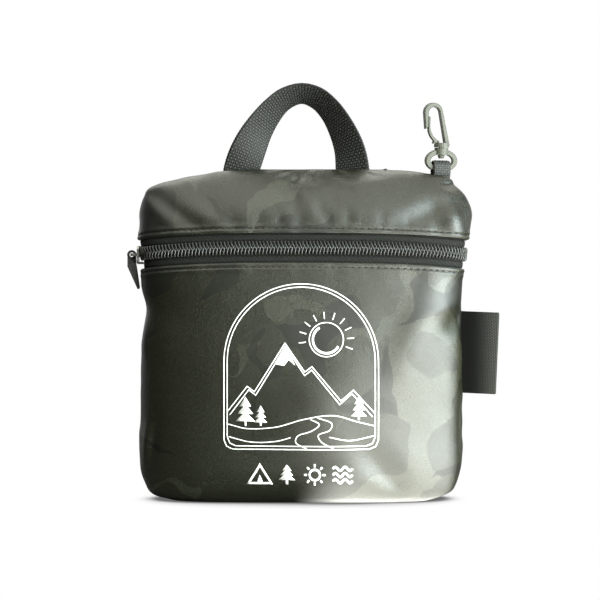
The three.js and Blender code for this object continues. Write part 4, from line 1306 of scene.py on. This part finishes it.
def tape_material():
    """Zip tape: fine diagonal twill."""
    material, tree, shader = new_material("zip_tape_twill", 0.75)
    place = add_node(tree, "ShaderNodeUVMap", uv_map="measure")
    ribs = add_node(tree, "ShaderNodeTexWave", label="twill", bands_direction="DIAGONAL")
    ribs.inputs["Scale"].default_value = 230
    ribs.inputs["Distortion"].default_value = 0.8
    tree.links.new(place.outputs["UV"], ribs.inputs["Vector"])
    grain = use_group(tree, fine_grain, scale=1300.0, detail=2.0)
    shade = math_node(tree, "MULTIPLY", ribs.outputs["Fac"], grain.outputs["Value"])
    tree.links.new(blend_colors(tree, shade, (0.0032, 0.0036, 0.0028), (0.0125, 0.0138, 0.0105)),
                   shader.inputs["Base Color"])
    shader.inputs["Specular IOR Level"].default_value = 0.2
    add_bump(tree, shader, shade, 0.00015, 0.7)
    return material


def plain_material(name, color, roughness, metallic=0.0, spread=0.15, grain_scale=700.0, bump=0.00003,
                   coat=0.0, gloss=0.5):
    """Moulded or cast surface with slight unevenness of colour and gloss."""
    material, tree, shader = new_material(name, roughness, metallic)
    grain = use_group(tree, fine_grain, scale=grain_scale, detail=4.0)
    light = tuple(min(1, c * (1 + spread)) for c in color)
    dark = tuple(c * (1 - spread) for c in color)
    tree.links.new(blend_colors(tree, grain.outputs["Value"], dark, light), shader.inputs["Base Color"])
    rough = math_node(tree, "MULTIPLY_ADD", grain.outputs["Value"], 0.12, roughness - 0.06)
    tree.links.new(rough, shader.inputs["Roughness"])
    shader.inputs["Coat Weight"].default_value = coat
    shader.inputs["Specular IOR Level"].default_value = gloss
    add_bump(tree, shader, grain.outputs["Height"], bump, 0.6)
    return material


fine_grain = fine_grain_group()
yarn_painted_shade = yarn_group()
cloth = cloth_material()
tape_weave = tape_material()
coil_nylon = plain_material("zip_coil_nylon", (0.018, 0.019, 0.016), 0.32, bump=0.00001, coat=0.2)
webbing_weave = yarn_material("handle_webbing_yarn", (0.001, 0.001, 0.0008), (0.05, 0.054, 0.045),
                              roughness=0.62, sheen=0.03, gloss=0.3)
ribbon_weave = yarn_material("loop_ribbon_yarn", (0.003, 0.003, 0.002), (0.05, 0.053, 0.045),
                             roughness=0.6, sheen=0.05, gloss=0.4)
tab_weave = tab_material()
hook_plastic = plain_material("hook_plastic", (0.07, 0.073, 0.058), 0.45, spread=0.05, grain_scale=300.0,
                              bump=0.0, gloss=0.25)
slider_metal = plain_material("slider_metal", (0.35, 0.35, 0.33), 0.32, metallic=1.0)
puller_rubber = plain_material("puller_rubber", (0.012, 0.012, 0.011), 0.5)
thread = plain_material("sewing_thread", (0.004, 0.004, 0.0035), 0.9)
ink = plain_material("white_ink", (0.78, 0.79, 0.76), 0.5, spread=0.04, grain_scale=1500.0)


def front_surface(*pieces):
    """The pieces' faces in one tree that rays can be cast at."""
    verts = []
    faces = []
    for piece in pieces:
        start = len(verts)
        verts.extend(v.co.copy() for v in piece.data.vertices)
        faces.extend([start + i for i in p.vertices] for p in piece.data.polygons)
    return BVHTree.FromPolygons(verts, faces)


def pouch():
    """The three panels of cloth. Gives back the two in front, which the print and the stitches lie on."""
    front = front_panel()
    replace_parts(front, "front_panel")
    top = top_panel()
    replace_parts(top, "top_panel")
    back = back_panel()
    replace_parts(back, "back_panel")
    return front, top


CRISP_ANGLE = 30
ROUNDED_ANGLE = 28


def dress_node(node, material, bevel=0.0):
    """A better finish for a node that keeps its shape, with crisp edges, or rounded ones where bevel
    gives a width."""
    piece = bpy.data.objects[node]
    piece.data.materials.clear()
    piece.data.materials.append(material)
    for face in piece.data.polygons:
        face.use_smooth = True
    if not bevel:
        crisp = piece.modifiers.new("crisp edges", "EDGE_SPLIT")
        crisp.split_angle = math.radians(CRISP_ANGLE)
        return
    rounding = piece.modifiers.new("rounded edges", "BEVEL")
    rounding.width = bevel * MM
    rounding.segments = 3
    rounding.limit_method = "ANGLE"
    rounding.angle_limit = math.radians(ROUNDED_ANGLE)
    rounding.harden_normals = True


surface = front_surface(*pouch())
print_on_front(surface)
for name, node, side in (("lower_tape", "zip_tape_lower", -1), ("upper_tape", "zip_tape_upper", 1)):
    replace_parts(zip_tape(name, side), node)
for name, node, side in (("lower_coil", "zip_coil_lower", -1), ("upper_coil", "zip_coil_upper", 1)):
    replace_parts(zip_coil(name, side), node)
stitch_row("lower_hem_stitches", -1, surface)
stitch_row("upper_hem_stitches", 1, surface)
carry_handle()
hook_loop()
side_tab()
dress_node("zip_slider", slider_metal, 0.2)
dress_node("zip_puller", puller_rubber, 0.35)
for node in ("swivel_eye", "snap_hook", "hook_gate"):
    dress_node(node, hook_plastic)
dress_node("folded_bag", cloth)


# The studio


# Strengths of the floor's bright card, of the backdrop and of the room, then the floor's half width and how
# far the pouch's painted shadow reaches on it, in metres.
FLOOR_CARD = 8.0
BACKDROP = 0.9
ROOM = 0.05
FLOOR_REACH = 6.0
PAINTED_SHADOW_REACH = 0.035

# The card's four edges: the axis that crosses each, where the card ends and where it is fully bright.
CARD_EDGES = (("X", -0.005, 0.03), ("X", 0.35, 0.25), ("Y", -0.3, -0.15), ("Y", 0.0, -0.02))

# The camera: where it stands, its sensor's width in millimetres, and how many metres wide it sees at
# the plane that lies SEAM_PLANE behind the pouch's middle.
CAMERA_PLACE = Vector((-0.0006, -0.76, 0.114))
SENSOR_WIDTH = 36
VIEW_WIDTH = 0.348
SEAM_PLANE = 0.005


def make_floor():
    """A white floor for the camera, with a painted shadow near the pouch. What the pouch sees is a dark
    table with a bright card at the right.
    """
    mesh = bpy.data.meshes.new("floor")
    s = FLOOR_REACH
    mesh.from_pydata([(-s, -s, 0), (s, -s, 0), (s, s, 0), (-s, s, 0)], [], [(0, 1, 2, 3)])
    material, tree, shader = new_material("paper_white", 0.6, color=(0.06, 0.06, 0.055))
    light_path = add_node(tree, "ShaderNodeLightPath")
    # Painted shadow: for the camera the floor glows white, dimmed by ambient occlusion near the pouch.
    near = add_node(tree, "ShaderNodeAmbientOcclusion")
    near.inputs["Distance"].default_value = PAINTED_SHADOW_REACH
    shade = add_node(tree, "ShaderNodeEmission")
    tone = map_range(tree, near.outputs["AO"], 0.15, 0.75, 0.15, 1.0)
    tree.links.new(tone, shade.inputs["Strength"])
    mix = add_node(tree, "ShaderNodeMixShader")
    tree.links.new(light_path.outputs["Is Camera Ray"], mix.inputs[0])
    tree.links.new(shader.outputs[0], mix.inputs[1])
    tree.links.new(shade.outputs[0], mix.inputs[2])
    tree.links.new(mix.outputs[0], tree.nodes["Material Output"].inputs["Surface"])
    place = add_node(tree, "ShaderNodeTexCoord")
    parts = add_node(tree, "ShaderNodeSeparateXYZ")
    tree.links.new(place.outputs["Object"], parts.inputs[0])
    card = FLOOR_CARD
    for axis, dark_at, bright_at in CARD_EDGES:
        edge = map_range(tree, parts.outputs[axis], dark_at, bright_at)
        card = math_node(tree, "MULTIPLY", edge, card)
    shader.inputs["Emission Color"].default_value = (1, 0.99, 0.94, 1)
    tree.links.new(card, shader.inputs["Emission Strength"])
    floor = add_object("floor", mesh, material, body=None)


def area_light(name, place, aim, size, power, color):
    """A soft lamp at a place, aimed at another. size is its two sides in metres, power is in watts."""
    data = bpy.data.lights.new(name, "AREA")
    data.shape = "RECTANGLE"
    data.size, data.size_y = size
    data.energy = power
    data.color = color
    light = bpy.data.objects.new(name, data)
    light.location = place
    light.rotation_mode = "QUATERNION"
    light.rotation_quaternion = (Vector(aim) - Vector(place)).to_track_quat("-Z", "Y")
    bpy.context.scene.collection.objects.link(light)


def make_camera():
    """A level camera straight in front of the pouch."""
    data = bpy.data.cameras.new("camera")
    camera = bpy.data.objects.new("camera", data)
    camera.location = CAMERA_PLACE
    camera.rotation_euler = (math.pi / 2, 0, 0)
    data.sensor_width = SENSOR_WIDTH
    distance = -CAMERA_PLACE.y + SEAM_PLANE
    data.lens = SENSOR_WIDTH * distance / VIEW_WIDTH
    data.clip_start = 0.01
    bpy.context.scene.collection.objects.link(camera)
    bpy.context.scene.camera = camera


def make_world():
    """A white backdrop behind the pouch and a dark room in front of it; the camera sees only white."""
    world = bpy.data.worlds.new("studio")
    world.use_nodes = True
    tree = world.node_tree
    room = tree.nodes["Background"]
    direction = add_node(tree, "ShaderNodeTexCoord")
    parts = add_node(tree, "ShaderNodeSeparateXYZ")
    tree.links.new(direction.outputs["Generated"], parts.inputs[0])
    behind = map_range(tree, parts.outputs["Y"], 0.0, 0.45)
    steep = map_range(tree, parts.outputs["Z"], 0.25, 0.7, 1.0, 0.35)
    strength = math_node(tree, "MULTIPLY_ADD", math_node(tree, "MULTIPLY", behind, steep),
                         BACKDROP - ROOM, ROOM)
    tree.links.new(strength, room.inputs["Strength"])
    room.inputs["Color"].default_value = (1, 1, 1, 1)
    bright = tree.nodes.new("ShaderNodeBackground")
    bright.inputs["Color"].default_value = (1, 1, 1, 1)
    light_path = tree.nodes.new("ShaderNodeLightPath")
    mix = tree.nodes.new("ShaderNodeMixShader")
    tree.links.new(light_path.outputs["Is Camera Ray"], mix.inputs[0])
    tree.links.new(room.outputs[0], mix.inputs[1])
    tree.links.new(bright.outputs[0], mix.inputs[2])
    tree.links.new(mix.outputs[0], tree.nodes["World Output"].inputs["Surface"])
    bpy.context.scene.world = world


make_floor()
make_world()
make_camera()
area_light("right_softbox", (0.66, -0.44, 0.3), (0, 0, 0.1), (0.6, 0.62), 17, (0.8, 0.94, 1.0))
area_light("low_card", (0.42, -0.4, 0.03), (0, 0, 0.04), (0.6, 0.3), 9, (1.0, 0.99, 0.9))
area_light("top_softbox", (0.0, -0.52, 0.78), (0, 0, 0.15), (1.3, 0.8), 10, (1.0, 1.0, 0.9))
area_light("crown_softbox", (0.0, 0.3, 0.9), (0, 0, 0.18), (1.2, 0.7), 9, (1.0, 1.0, 0.92))
bpy.context.scene.view_settings.view_transform = "Standard"
